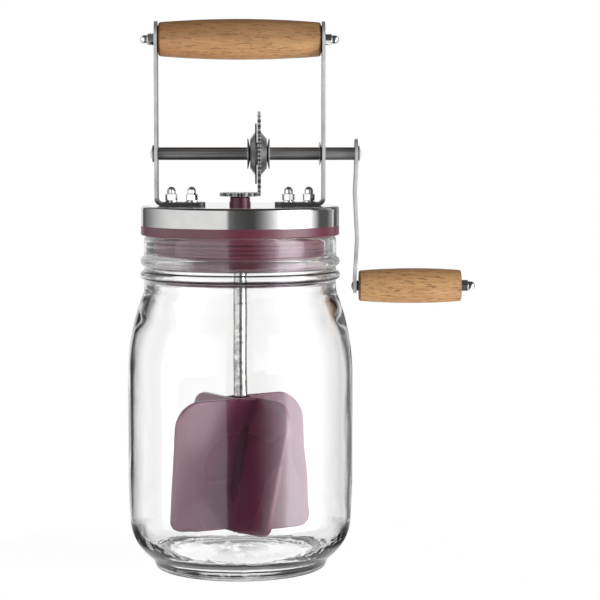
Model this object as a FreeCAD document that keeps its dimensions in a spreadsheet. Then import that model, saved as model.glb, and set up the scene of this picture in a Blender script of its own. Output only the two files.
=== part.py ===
import FreeCAD, Part
import math
import os
import Sketcher

# Glass butter churn: a one litre preserving jar with a hand cranked stirrer in its lid.
# Millimetres. The origin is the middle of the jar's foot on the table, +Z is up and
# +X points to the crank.

Vector = FreeCAD.Vector
DOC = FreeCAD.newDocument("butter_churn")
SHEET = DOC.addObject("Spreadsheet::Sheet", "Sizes")

# The driving dimensions: name, value, what it is.
DIMENSIONS = [
    ("jar_radius", 55.1, "outside of the jar's body"),
    ("jar_wall", 2.4, "glass thickness of the body"),
    ("foot_inset", 15.3, "how far inside the body's radius the jar's foot ends"),
    ("foot_width", 2.6, "width of the standing ring"),
    ("foot_round", 2.5, "rounding from the standing ring to the heel"),
    ("heel_start_rise", 5.6, "height where the heel's curve starts"),
    ("heel_start_inset", 10.5, "how far inside the body's radius the heel starts"),
    ("heel_curve", 24, "radius of the heel's curve"),
    ("heel_end_rise", 23.75, "height where the heel meets the slightly bellied wall"),
    ("belly_depth", 0.8, "how far the wall draws in at the heel"),
    ("belly_rise", 48, "height where the wall is upright"),
    ("base_pushup", 2.6, "height of the pushed-up underside"),
    ("base_thickness", 4.6, "glass thickness of the base"),
    ("inner_heel_curve", 20, "radius inside the heel"),
    ("shoulder_rise", 40, "height of the shoulder's curve"),
    ("neck_height", 28.3, "height of the neck from the shoulder to the rim"),
    ("neck_radius", 47, "outside of the neck"),
    ("neck_wall", 5, "glass thickness of the neck"),
    ("neck_cove", 2.5, "short cove between shoulder and neck"),
    ("rim_height", 163.3, "top of the jar's rim"),
    ("rim_round_out", 2.2, "outer rounding of the rim"),
    ("rim_round_in", 1.8, "inner rounding of the rim"),
    ("low_bead_drop", 19.3, "distance of the lower bead's middle below the rim"),
    ("low_bead_half", 2.25, "half the lower bead's height"),
    ("low_bead_rise", 1.9, "how far the lower bead stands out"),
    ("high_bead_drop", 12.6, "distance of the upper bead's middle below the rim"),
    ("high_bead_half", 2.5, "half the upper bead's height"),
    ("high_bead_rise", 1.7, "how far the upper bead stands out"),
    ("seat_gap", 0.1, "play between the rim and the seal"),
    ("plug_gap", 0.3, "play between the plug's ribs and the neck"),
    ("lid_overhang", 1.4, "how far the lid's band stands out past the neck"),
    ("lid_band", 9.7, "height of the lid's band"),
    ("lid_sheet", 0.7, "sheet thickness of the lid"),
    ("lid_corner", 1.4, "outer radius of the lid's corner"),
    ("seal_flange", 4.55, "thickness of the silicone flange"),
    ("seal_round", 0.6, "rounding of the flange's lower edge"),
    ("plug_wall", 3.1, "thickness of the plug's wall between its ribs"),
    ("plug_depth", 14.9, "depth of the plug below the flange"),
    ("plug_rib_rise", 1.1, "how far the plug's ribs stand out"),
    ("plug_rib_pitch", 2.05, "spacing of the plug's ribs"),
    ("plug_rib_height", 1.35, "height of one rib"),
    ("plug_rib_start", 1.8, "distance of the first rib below the flange"),
    ("plug_ribs", 5, "number of ribs"),
    ("part_gap", 0.04, "radial gap between pieces fixed to each other"),
    ("running_gap", 0.06, "radial gap of a turning fit"),
    ("bush_wall", 0.75, "wall of the bush's shank in the lid"),
    ("bush_step", 0.8, "how far the bush's body stands out past its shank"),
    ("bush_rise", 4.3, "height of the bush above the lid"),
    ("bush_flange_rise", 1.8, "height of the bush's wider foot"),
    ("bush_flange_step", 0.3, "how far the bush's foot stands out"),
    ("bush_chamfer", 0.5, "chamfer on the bush's top"),
    ("bush_shank_drop", 5, "length of the shank below the lid's sheet"),
    ("bush_groove", 0.5, "depth of the groove for the retainer"),
    ("retainer_radius", 7.5, "outer radius of the bush's retainer"),
    ("retainer_thickness", 0.8, "thickness of the bush's retainer"),
    ("stem_radius", 3.3, "radius of the paddle's stem"),
    ("stem_top_radius", 2.4, "radius of the stem's top in the pinion"),
    ("stem_top_flat", 1.9, "half the distance across the flats of the stem's top"),
    ("stem_clip_drop", 1.2, "distance from the bush down to the stem's clip"),
    ("stem_clip_radius", 6.2, "outer radius of the stem's clip"),
    ("pinion_gap", 0.15, "play between the bush and the pinion"),
    ("pinion_thickness", 1.8, "thickness of the pinion"),
    ("pinion_teeth", 14, "teeth of the pinion"),
    ("pinion_addendum", 0.8, "height of the pinion's teeth above the pitch circle"),
    ("pinion_dedendum", 1.3, "depth of the pinion's teeth below the pitch circle"),
    ("pinion_tooth_root", 1.9, "tooth width at the pinion's root"),
    ("pinion_tooth_tip", 0.9, "tooth width at the pinion's tip"),
    ("axle_radius", 3.1, "radius of the axle"),
    ("axle_journal", 2, "radius of the axle's left journal"),
    ("axle_end_head", 3, "radius of the riveted left end"),
    ("axle_end_length", 1, "length of the riveted left end"),
    ("axle_play", 0.3, "play between the axle's shoulder and the left arm"),
    ("end_washer_radius", 4.1, "radius of the washer at the left end"),
    ("end_washer_thickness", 1.1, "thickness of the washer at the left end"),
    ("clip_radius", 5.8, "outer radius of the axle's clip"),
    ("clip_thickness", 1.2, "thickness of a clip"),
    ("clip_groove", 0.6, "depth of a clip's groove"),
    ("clip_grasp", 0.5, "how far each end of a clip reaches round its groove"),
    ("clip_arm_gap", 0.4, "play between the axle's clip and the right arm"),
    ("gear_thickness", 1.6, "thickness of the large gear"),
    ("gear_radius", 19.65, "pitch radius of the large gear"),
    ("gear_teeth", 30, "teeth of the large gear"),
    ("gear_addendum", 0.95, "height of the gear's teeth above the pitch circle"),
    ("gear_dedendum", 0.95, "depth of the gear's teeth below the pitch circle"),
    ("mesh_side_gap", 0.7, "gap between the pinion's root and the gear's left face"),
    ("mesh_depth_gap", 0.15, "height of the gear's lowest tooth above the pinion's underside"),
    ("gear_tooth_root", 2, "tooth width at the large gear's root"),
    ("gear_tooth_tip", 0.9, "tooth width at the large gear's tip"),
    ("gear_boss_radius", 5.5, "radius of the boss on the gear's left side"),
    ("gear_boss_length", 0.4, "length of the boss"),
    ("disc_radius", 14.8, "radius of the backing disc"),
    ("disc_thickness", 0.8, "thickness of the backing disc"),
    ("hub_rim", 10.5, "radius of a hub cup at its open side"),
    ("hub_face", 7.2, "radius of a hub cup's flat face"),
    ("hub_sheet", 0.8, "sheet thickness of a hub cup"),
    ("left_hub_depth", 2.4, "depth of the left hub cup"),
    ("right_hub_depth", 2.9, "depth of the right hub cup"),
    ("lock_radius", 7.3, "outer radius of a lock washer"),
    ("lock_sheet", 0.5, "sheet thickness of a lock washer"),
    ("lock_dish", 0.9, "dish of a lock washer"),
    ("crank_reach", 14.5, "gap between the right arm and the crank arm"),
    ("crank_thickness", 1.5, "thickness of the crank arm"),
    ("crank_length", 64.6, "distance from the axle to the knob's pin"),
    ("crank_top_radius", 7.2, "half width of the crank arm at the axle"),
    ("crank_end_radius", 3.7, "half width of the crank arm at the pin"),
    ("crank_set", 0.55, "how far the arm is bent to and fro"),
    ("crank_left_bend", 19, "distance of the crank arm's bend to the left below the axle"),
    ("crank_right_bend", 42, "distance of its bend to the right below the axle"),
    ("tenon_radius", 2.3, "radius of the axle's tenon in the crank arm"),
    ("tenon_flat", 1.7, "half the distance across the tenon's flats"),
    ("crank_washer_radius", 3.95, "radius of the washer on the crank arm"),
    ("crank_washer_thickness", 0.8, "thickness of the washer on the crank arm"),
    ("tenon_head_radius", 3, "radius of the riveted right end"),
    ("tenon_head_length", 1.1, "length of the riveted right end"),
    ("knob_length", 50, "length of the knob"),
    ("knob_crown", 0.95, "how far the knob's middle bulges past its ends"),
    ("knob_left_radius", 7.5, "radius of the knob's end at the arm"),
    ("knob_right_radius", 7.7, "radius of the knob's outer end"),
    ("knob_round", 0.9, "rounding of the knob's ends"),
    ("knob_play", 0.25, "play at each end of the knob"),
    ("pin_radius", 1.5, "radius of the knob's pin"),
    ("pin_head_radius", 2.35, "radius of the pin's head"),
    ("pin_head_length", 0.9, "length of the pin's head"),
    ("spacer_radius", 2.5, "radius of the knob's spacer"),
    ("spacer_length", 1.05, "length of the knob's spacer"),
    ("grip_rise", 80.55, "height of the top grip above the lid"),
    ("grip_crown", 1.55, "how far the grip's middle bulges past its ends"),
    ("grip_end_radius", 8.3, "radius of the grip's ends"),
    ("grip_round", 1.3, "rounding of the grip's ends"),
    ("grip_washer_radius", 6.5, "radius of the grip's washers"),
    ("grip_washer_thickness", 0.4, "thickness of the grip's washers"),
    ("rod_radius", 1.5, "radius of the rod in the grip"),
    ("nut_flats", 5.4, "distance across a nut's flats"),
    ("nut_hex", 3.3, "height of a nut's hexagon"),
    ("nut_dome_radius", 2.2, "radius of an acorn nut's dome"),
    ("nut_height", 6.8, "whole height of an acorn nut"),
    ("nut_bore_depth", 4.6, "depth of an acorn nut's hole"),
    ("nut_chamfer", 0.45, "height of the chamfer on a nut's corners"),
    ("arm_inset", 8.5, "distance from the lid's edge to an arm's inner face"),
    ("strip_width", 17, "width of the bracket strip"),
    ("strip_thickness", 1.5, "thickness of the bracket strip"),
    ("strip_bend", 2, "inner radius of the bracket's bend"),
    ("strip_top_rise", 8.8, "height of the bracket's top above the grip's rod"),
    ("foot_length", 22.9, "length of a bracket's foot inside its arm"),
    ("foot_end_round", 3, "rounding of a foot's corners"),
    ("screw_setback", 6.4, "distance of the outer screws from the arm's inner face"),
    ("screw_spacing", 9.9, "distance between a foot's screws"),
    ("screw_radius", 1.45, "radius of the bracket's screws"),
    ("screw_head_radius", 2.8, "radius of a screw's head"),
    ("screw_head_height", 1.7, "height of a screw's head"),
    ("screw_slot_width", 0.8, "width of a screw's slot"),
    ("screw_slot_depth", 0.8, "depth of a screw's slot"),
    ("screw_washer_radius", 3.3, "radius of a bracket washer"),
    ("screw_washer_thickness", 0.9, "thickness of a bracket washer"),
    ("paddle_floor_gap", 11, "gap between the jar's floor and the paddle"),
    ("paddle_height", 66, "height of the paddle's blades"),
    ("paddle_mouth_gap", 4.4, "gap between the paddle and the mouth that it goes through"),
    ("blade_thickness", 2.5, "thickness of a blade"),
    ("blade_pitch", 10.8, "tilt of a blade about its own radius, degrees"),
    ("blade_bearing", -59.5, "direction of the front blade seen from above, degrees"),
    ("blade_count", 4, "number of blades"),
    ("blade_low_round", 7, "rounding of a blade's lower corner"),
    ("blade_top_round", 13, "rounding of a blade's upper corner"),
    ("hub_wall", 1.6, "wall of the paddle's hub"),
    ("hub_floor", 2.6, "thickness of the hub's floor"),
    ("paddle_screw_radius", 1.3, "radius of the paddle's screw"),
    ("paddle_screw_length", 8, "length of the paddle's screw in the stem"),
    ("paddle_screw_head", 2.8, "radius of the paddle screw's head"),
    ("paddle_screw_head_height", 1.6, "height of the paddle screw's head"),
]


class Size:
    """A size together with the sheet formula that gives it."""

    def __init__(self, value, formula):
        self.value = value
        self.formula = formula

    def __add__(self, other):
        other = size(other)
        return Size(self.value + other.value, f"({self.formula} + {other.formula})")

    def __sub__(self, other):
        other = size(other)
        return Size(self.value - other.value, f"({self.formula} - {other.formula})")

    def __mul__(self, other):
        other = size(other)
        return Size(self.value * other.value, f"({self.formula} * {other.formula})")

    def __truediv__(self, other):
        other = size(other)
        return Size(self.value / other.value, f"({self.formula} / {other.formula})")

    def __radd__(self, other):
        return size(other) + self

    def __rsub__(self, other):
        return size(other) - self

    def __rmul__(self, other):
        return size(other) * self

    def __rtruediv__(self, other):
        return size(other) / self

    def __neg__(self):
        return Size(-self.value, f"(0 - {self.formula})")


def size(thing):
    """A dimension of the sheet by its name, or a plain number, as a Size."""
    if isinstance(thing, Size):
        return thing
    if isinstance(thing, str):
        return Size(float(SHEET.get(thing)), f"Sizes.{thing}")
    return Size(float(thing), f"{float(thing):.6f}")


def root(area):
    return Size(math.sqrt(area.value), f"sqrt({area.formula})")


def tangent(angle):
    return Size(math.tan(math.radians(angle.value)), f"tan({angle.formula})")


def crown_radius(half_chord, rise):
    """Radius of an arc over a chord of twice half_chord that rises by rise."""
    return (half_chord * half_chord + rise * rise) / (2 * rise)


def fill_sheet():
    for row, (name, value, meaning) in enumerate(DIMENSIONS, start=1):
        SHEET.set(f"A{row}", meaning)
        SHEET.set(f"B{row}", str(value))
        SHEET.setAlias(f"B{row}", name)
    DOC.recompute()


def bind(owner, path, amount):
    owner.setExpression(path, size(amount).formula)


class Piece:
    """One body of the document, built from sketches that the sheet drives."""

    def __init__(self, label):
        self.body = DOC.addObject("PartDesign::Body", label)
        self.body.Label = label
        self.body.AllowCompound = True
        self.planes = {part.Role: part for part in self.body.Origin.OriginFeatures}
        self.count = 0

    def new(self, kind):
        self.count += 1
        return self.body.newObject(kind, f"{self.body.Name}_{self.count}")

    def sketch(self, plane, shift=(0, 0, 0), tilt=None):
        """A sketch on an origin plane, moved by shift in the sketch's own axes."""
        drawing = self.new("Sketcher::SketchObject")
        drawing.AttachmentSupport = [(self.planes[plane], "")]
        drawing.MapMode = "FlatFace"
        if tilt is not None:
            drawing.AttachmentOffset = FreeCAD.Placement(
                Vector(0, 0, 0), FreeCAD.Rotation(Vector(1, 0, 0), 1))
            bind(drawing, "AttachmentOffset.Rotation.Angle", tilt)
        for axis, amount in zip("xyz", shift):
            if size(amount).value != 0:
                bind(drawing, f"AttachmentOffset.Base.{axis}", amount)
        return drawing

    def pad(self, drawing, length, both_ways=False):
        feature = self.new("PartDesign::Pad")
        feature.Profile = drawing
        bind(feature, "Length", length)
        if both_ways:
            feature.SideType = "Symmetric"
        self.body.Tip = feature
        return feature

    def pocket(self, drawing, length, both_ways=False, reverse=False):
        feature = self.new("PartDesign::Pocket")
        feature.Profile = drawing
        bind(feature, "Length", length)
        if both_ways:
            feature.SideType = "Symmetric"
        feature.Reversed = reverse
        self.body.Tip = feature
        return feature

    def turn(self, drawing, axis):
        feature = self.new("PartDesign::Revolution")
        feature.Profile = drawing
        feature.ReferenceAxis = (drawing, [axis])
        feature.Angle = 360
        self.body.Tip = feature
        return feature

    def groove(self, drawing, axis):
        feature = self.new("PartDesign::Groove")
        feature.Profile = drawing
        feature.ReferenceAxis = (drawing, [axis])
        feature.Angle = 360
        self.body.Tip = feature
        return feature

    def round_about(self, features, axis, count):
        """Repeat features evenly round an axis of the body's origin."""
        pattern = self.new("PartDesign::PolarPattern")
        pattern.Originals = features
        pattern.Axis = (self.planes[axis], [""])
        pattern.Angle = 360
        bind(pattern, "Occurrences", count)
        self.body.Tip = pattern
        return pattern

    def four_places(self, features, spacing):
        """Repeat features once along X, and mirror the pair to the other foot."""
        pattern = self.new("PartDesign::MultiTransform")
        pattern.Originals = features
        along = self.new("PartDesign::LinearPattern")
        along.Direction = (self.planes["X_Axis"], [""])
        along.Mode = "Spacing"
        along.Occurrences = 2
        bind(along, "Offset", spacing)
        across = self.new("PartDesign::Mirrored")
        across.MirrorPlane = (self.planes["YZ_Plane"], [""])
        pattern.Transformations = [along, across]
        self.body.Tip = pattern
        return pattern

    def fillet(self, edges, radius):
        carrier = self.body.Tip
        feature = self.new("PartDesign::Fillet")
        feature.Base = (carrier, edges)
        bind(feature, "Radius", radius)
        self.body.Tip = feature
        return feature

    def place(self, x=0, y=0, z=0, axis=None, angle=0):
        if axis is not None:
            self.body.Placement = FreeCAD.Placement(
                Vector(0, 0, 0), FreeCAD.Rotation(axis, size(angle).value or 1))
            bind(self.body, "Placement.Rotation.Angle", angle)
        for name, amount in (("x", x), ("y", y), ("z", z)):
            if size(amount).value != 0:
                bind(self.body, f"Placement.Base.{name}", amount)


class Outline:
    """A closed loop in a sketch. Every corner is placed from the sketch's origin."""

    def __init__(self, drawing, x, y):
        self.drawing = drawing
        self.corners = [(size(x), size(y))]
        self.sides = []

    def line(self, x, y):
        self.corners.append((size(x), size(y)))
        self.sides.append(None)
        return self

    def arc(self, x, y, radius, turn):
        """An arc to (x, y), turning left (turn = 1) or right (turn = -1)."""
        self.corners.append((size(x), size(y)))
        self.sides.append((size(radius), turn))
        return self

    def close(self, radius=None, turn=1):
        self.sides.append(None if radius is None else (size(radius), turn))
        corners = [Vector(x.value, y.value, 0) for x, y in self.corners]
        ends = []
        for number, side in enumerate(self.sides):
            start = corners[number]
            finish = corners[(number + 1) % len(corners)]
            ends.append(self.draw(start, finish, side))
        for number, (index, first, last) in enumerate(ends):
            following, next_first, unused = ends[(number + 1) % len(ends)]
            self.drawing.addConstraint(Sketcher.Constraint(
                "Coincident", index, last, following, next_first))
        for (x, y), (index, first, last) in zip(self.corners, ends):
            self.fix("DistanceX", index, first, x)
            self.fix("DistanceY", index, first, y)
        return self

    def draw(self, start, finish, side):
        if side is None:
            index = self.drawing.addGeometry(Part.LineSegment(start, finish), False)
            return index, 1, 2
        radius, turn = side
        chord = finish - start
        half = chord.Length / 2
        depth = radius.value - math.sqrt(max(radius.value ** 2 - half ** 2, 0))
        outward = Vector(chord.y, -chord.x, 0).normalize() * turn
        middle = (start + finish) * 0.5 + outward * depth
        index = self.drawing.addGeometry(Part.Arc(start, middle, finish), False)
        number = self.drawing.addConstraint(Sketcher.Constraint("Radius", index, radius.value))
        self.drawing.setExpression(f"Constraints[{number}]", radius.formula)
        if turn > 0:
            return index, 1, 2
        return index, 2, 1

    def fix(self, kind, index, point, amount):
        number = self.drawing.addConstraint(
            Sketcher.Constraint(kind, -1, 1, index, point, amount.value))
        self.drawing.setExpression(f"Constraints[{number}]", amount.formula)


def circle(drawing, radius, x=0, y=0):
    radius = size(radius)
    x = size(x)
    y = size(y)
    centre = Vector(x.value, y.value, 0)
    index = drawing.addGeometry(Part.Circle(centre, Vector(0, 0, 1), radius.value), False)
    wanted = (
        Sketcher.Constraint("DistanceX", -1, 1, index, 3, x.value),
        Sketcher.Constraint("DistanceY", -1, 1, index, 3, y.value),
        Sketcher.Constraint("Radius", index, radius.value),
    )
    for constraint, amount in zip(wanted, (x, y, radius)):
        number = drawing.addConstraint(constraint)
        drawing.setExpression(f"Constraints[{number}]", amount.formula)


def flatted_round(drawing, radius, flat):
    """A circle with two flats, as on a tenon and its hole."""
    radius = size(radius)
    flat = size(flat)
    reach = root(radius * radius - flat * flat)
    outline = Outline(drawing, flat, -reach)
    outline.line(flat, reach)
    outline.arc(0, radius, radius, 1)
    outline.arc(-flat, reach, radius, 1)
    outline.line(-flat, -reach)
    outline.arc(0, -radius, radius, 1)
    outline.close(radius, 1)


def ring(label, bore, radius, thickness, x=0, z=0, upright=False):
    """A flat washer. It starts at x or z, about the X axis or upright about Z."""
    piece = Piece(label)
    drawing = piece.sketch("XY_Plane" if upright else "YZ_Plane")
    circle(drawing, radius)
    circle(drawing, bore)
    piece.pad(drawing, thickness)
    piece.place(x=x, z=z)
    return piece


# Heights and places that several pieces share.
fill_sheet()
MOUTH = size("neck_radius") - size("neck_wall")
FLANGE_LOW = size("rim_height") + size("seat_gap")
BAND_LOW = FLANGE_LOW + size("seal_flange")
LID_TOP = BAND_LOW + size("lid_band")
LID_RADIUS = size("neck_radius") + size("lid_overhang")
SHEET_LOW = LID_TOP - size("lid_sheet")
BUSH_TOP = LID_TOP + size("bush_rise")
BUSH_BORE = size("stem_radius") + size("running_gap")
BUSH_SHANK = BUSH_BORE + size("bush_wall")
PINION_LOW = BUSH_TOP + size("pinion_gap")
PINION_TOP = PINION_LOW + size("pinion_thickness")
PINION_RADIUS = size("gear_radius") * size("pinion_teeth") / size("gear_teeth")
GEAR_TIP = size("gear_radius") + size("gear_addendum")
AXLE = PINION_LOW + size("mesh_depth_gap") + GEAR_TIP
PIN = AXLE - size("crank_length")
GRIP = LID_TOP + size("grip_rise")
ARM_IN = LID_RADIUS - size("arm_inset")
ARM_OUT = ARM_IN + size("strip_thickness")
GRIP_HALF = ARM_IN - size("grip_washer_thickness") - 2 * size("part_gap")
FOOT_TOP = LID_TOP + size("strip_thickness")
FOOT_END = ARM_IN - size("foot_length")
INNER_SCREW = ARM_IN - size("screw_setback") - size("screw_spacing")
CRANK_IN = ARM_OUT + size("crank_reach")
CRANK_MIDDLE = CRANK_IN + size("crank_thickness") / 2
CRANK_OUT = CRANK_IN + size("crank_thickness")
PIN_X = CRANK_MIDDLE - size("crank_set")
SPACER_X = PIN_X + size("crank_thickness") / 2
KNOB_X = SPACER_X + size("spacer_length") + size("knob_play")
KNOB_NUT_X = KNOB_X + size("knob_length") + size("knob_play")
GEAR_LEFT = PINION_RADIUS - size("pinion_dedendum") + size("mesh_side_gap")
GEAR_RIGHT = GEAR_LEFT + size("gear_thickness")
DISC_LEFT = GEAR_LEFT - size("gear_boss_length") - size("disc_thickness")
STACK_LEFT = DISC_LEFT - size("left_hub_depth")
STACK_RIGHT = GEAR_RIGHT + size("right_hub_depth")
AXLE_BORE = size("axle_radius") + size("part_gap")
NUT_BORE = size("rod_radius") + size("part_gap")
JAR_FLOOR = size("base_pushup") + size("base_thickness")
PADDLE_LOW = JAR_FLOOR + size("paddle_floor_gap")


def glass_jar():
    radius = size("jar_radius")
    neck = size("neck_radius")
    foot = radius - size("foot_inset")
    foot_in = foot - size("foot_width")
    heel_x = radius - size("heel_start_inset")
    heel_end_x = radius - size("belly_depth")
    belly_height = size("belly_rise") - size("heel_end_rise")
    rim = size("rim_height")
    shoulder_top = rim - size("neck_height")
    shoulder_start = shoulder_top - size("shoulder_rise")
    shoulder_x = neck + size("belly_depth") / 2
    inside = radius - size("jar_wall")
    floor_edge = inside - size("inner_heel_curve")
    floor_low = JAR_FLOOR - size("base_pushup") / 2
    inner_top = shoulder_top - size("neck_cove")

    jar = Piece("glass_jar")
    drawing = jar.sketch("XZ_Plane")
    wall = Outline(drawing, 0, size("base_pushup"))
    wall.arc(foot_in, 0, crown_radius(foot_in, size("base_pushup")), -1)
    wall.line(foot, 0)
    wall.arc(foot + size("foot_round"), size("foot_round"), size("foot_round"), 1)
    wall.line(heel_x, size("heel_start_rise"))
    wall.arc(heel_end_x, size("heel_end_rise"), size("heel_curve"), 1)
    wall.arc(radius, size("belly_rise"), crown_radius(belly_height, size("belly_depth")), 1)
    wall.line(radius, shoulder_start)
    wall.arc(shoulder_x, shoulder_top,
             crown_radius(size("shoulder_rise"), radius - shoulder_x), 1)
    wall.line(neck, shoulder_top + size("neck_cove"))
    for bead in ("low_bead", "high_bead"):
        middle = rim - size(bead + "_drop")
        half = size(bead + "_half")
        wall.line(neck, middle - half)
        wall.arc(neck, middle + half, crown_radius(half, size(bead + "_rise")), 1)
    wall.line(neck, rim - size("rim_round_out"))
    wall.arc(neck - size("rim_round_out"), rim, size("rim_round_out"), 1)
    wall.line(MOUTH + size("rim_round_in"), rim)
    wall.arc(MOUTH, rim - size("rim_round_in"), size("rim_round_in"), 1)
    wall.line(MOUTH, shoulder_top + size("neck_cove"))
    wall.line(MOUTH + size("rim_round_in"), inner_top)
    wall.arc(inside, shoulder_start,
             crown_radius(inner_top - shoulder_start,
                          inside - MOUTH - size("rim_round_in")), -1)
    wall.line(inside, floor_low + size("inner_heel_curve"))
    wall.arc(floor_edge, floor_low, size("inner_heel_curve"), -1)
    wall.arc(0, JAR_FLOOR, crown_radius(floor_edge, JAR_FLOOR - floor_low), 1)
    wall.close()
    jar.turn(drawing, "V_Axis")


def lid_cap():
    sheet = size("lid_sheet")
    corner = size("lid_corner")
    hole = BUSH_SHANK + size("part_gap")

    cap = Piece("lid_cap")
    drawing = cap.sketch("XZ_Plane")
    pan = Outline(drawing, hole, SHEET_LOW)
    pan.line(LID_RADIUS - corner, SHEET_LOW)
    pan.arc(LID_RADIUS - sheet, LID_TOP - corner, corner - sheet, -1)
    pan.line(LID_RADIUS - sheet, BAND_LOW)
    pan.line(LID_RADIUS, BAND_LOW)
    pan.line(LID_RADIUS, LID_TOP - corner)
    pan.arc(LID_RADIUS - corner, LID_TOP, corner, 1)
    pan.line(hole, LID_TOP)
    pan.close()
    cap.turn(drawing, "V_Axis")
    holes = cap.sketch("XY_Plane", shift=(0, 0, LID_TOP))
    circle(holes, size("screw_radius") + size("part_gap"), x=INNER_SCREW)
    drilled = cap.pocket(holes, 2 * sheet, both_ways=False)
    cap.four_places([drilled], size("screw_spacing"))


def lid_seal():
    inside = LID_RADIUS - size("lid_sheet") - size("part_gap")
    bevel = size("lid_corner")
    rib = MOUTH - size("plug_gap")
    core = rib - size("plug_rib_rise")
    bore = core - size("plug_wall")
    low = FLANGE_LOW - size("plug_depth")

    seal = Piece("lid_seal")
    drawing = seal.sketch("XZ_Plane")
    section = Outline(drawing, bore, SHEET_LOW)
    section.line(bore, low)
    section.line(core - size("seal_round"), low)
    section.arc(core, low + size("seal_round"), size("seal_round"), 1)
    rib_radius = crown_radius(size("plug_rib_height") / 2, size("plug_rib_rise"))
    for number in reversed(range(int(size("plug_ribs").value))):
        top = FLANGE_LOW - size("plug_rib_start") - number * size("plug_rib_pitch")
        section.line(core, top - size("plug_rib_height"))
        middle = top - size("plug_rib_height") / 2
        section.arc(rib, middle, rib_radius, 1)
        section.arc(core, top, rib_radius, 1)
    section.line(core, FLANGE_LOW)
    section.line(LID_RADIUS - size("seal_round"), FLANGE_LOW)
    section.arc(LID_RADIUS, FLANGE_LOW + size("seal_round"), size("seal_round"), 1)
    section.line(LID_RADIUS, BAND_LOW)
    section.line(inside, BAND_LOW)
    section.line(inside, SHEET_LOW - bevel)
    section.line(inside - bevel, SHEET_LOW)
    section.close()
    seal.turn(drawing, "V_Axis")


def stem_bush():
    body = BUSH_SHANK + size("bush_step")
    foot = body + size("bush_flange_step")
    neck = BUSH_SHANK - size("bush_groove")
    retainer_low = SHEET_LOW - size("retainer_thickness")

    bush = Piece("stem_bush")
    drawing = bush.sketch("XZ_Plane")
    section = Outline(drawing, BUSH_BORE, SHEET_LOW - size("bush_shank_drop"))
    section.line(BUSH_SHANK, SHEET_LOW - size("bush_shank_drop"))
    section.line(BUSH_SHANK, retainer_low)
    section.line(neck, retainer_low)
    section.line(neck, SHEET_LOW)
    section.line(BUSH_SHANK, SHEET_LOW)
    section.line(BUSH_SHANK, LID_TOP)
    section.line(foot, LID_TOP)
    section.line(foot, LID_TOP + size("bush_flange_rise"))
    section.line(body, LID_TOP + size("bush_flange_rise"))
    section.line(body, BUSH_TOP - size("bush_chamfer"))
    section.line(body - size("bush_chamfer"), BUSH_TOP)
    section.line(BUSH_BORE, BUSH_TOP)
    section.close()
    bush.turn(drawing, "V_Axis")
    ring("bush_retainer", neck + size("part_gap"), size("retainer_radius"),
         size("retainer_thickness"), z=retainer_low, upright=True)


def bracket(label, side, axle_hole):
    """One arm with its foot. side is 1 on the crank's side and -1 on the other."""
    bend = size("strip_bend")
    thick = size("strip_thickness")
    half = size("strip_width") / 2
    top = GRIP + size("strip_top_rise")
    outer = bend + thick

    arm = Piece(label)
    section = arm.sketch("XZ_Plane")
    strip = Outline(section, side * FOOT_END, LID_TOP)
    strip.line(side * (ARM_OUT - outer), LID_TOP)
    strip.arc(side * ARM_OUT, LID_TOP + outer, outer, side)
    strip.line(side * ARM_OUT, top)
    strip.line(side * ARM_IN, top)
    strip.line(side * ARM_IN, LID_TOP + outer)
    strip.arc(side * (ARM_IN - bend), FOOT_TOP, bend, -side)
    strip.line(side * FOOT_END, FOOT_TOP)
    strip.close()
    arm.pad(section, size("strip_width"), both_ways=True)

    rounding = arm.sketch("YZ_Plane")
    spare = size("strip_thickness")
    shoulder = top - half
    waste = Outline(rounding, half, shoulder)
    waste.line(half + spare, shoulder)
    waste.line(half + spare, top + spare)
    waste.line(-half - spare, top + spare)
    waste.line(-half - spare, shoulder)
    waste.line(-half, shoulder)
    waste.arc(0, top, half, -1)
    waste.close(half, -1)
    arm.pocket(rounding, 4 * ARM_OUT, both_ways=True)

    bores = arm.sketch("YZ_Plane")
    circle(bores, axle_hole, y=AXLE)
    circle(bores, size("rod_radius") + size("part_gap"), y=GRIP)
    arm.pocket(bores, 4 * ARM_OUT, both_ways=True)

    drill = arm.sketch("XY_Plane", shift=(0, 0, FOOT_TOP))
    for number in (0, 1):
        place = INNER_SCREW + number * size("screw_spacing")
        circle(drill, size("screw_radius") + size("part_gap"), x=side * place)
    arm.pocket(drill, 2 * thick)

    DOC.recompute()
    corners = []
    for number, edge in enumerate(arm.body.Tip.Shape.Edges, start=1):
        middle = edge.CenterOfMass
        at_end = abs(middle.x - side * FOOT_END.value) < 0.01
        if at_end and abs(abs(middle.y) - half.value) < 0.01:
            corners.append(f"Edge{number}")
    arm.fillet(corners, "foot_end_round")


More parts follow.
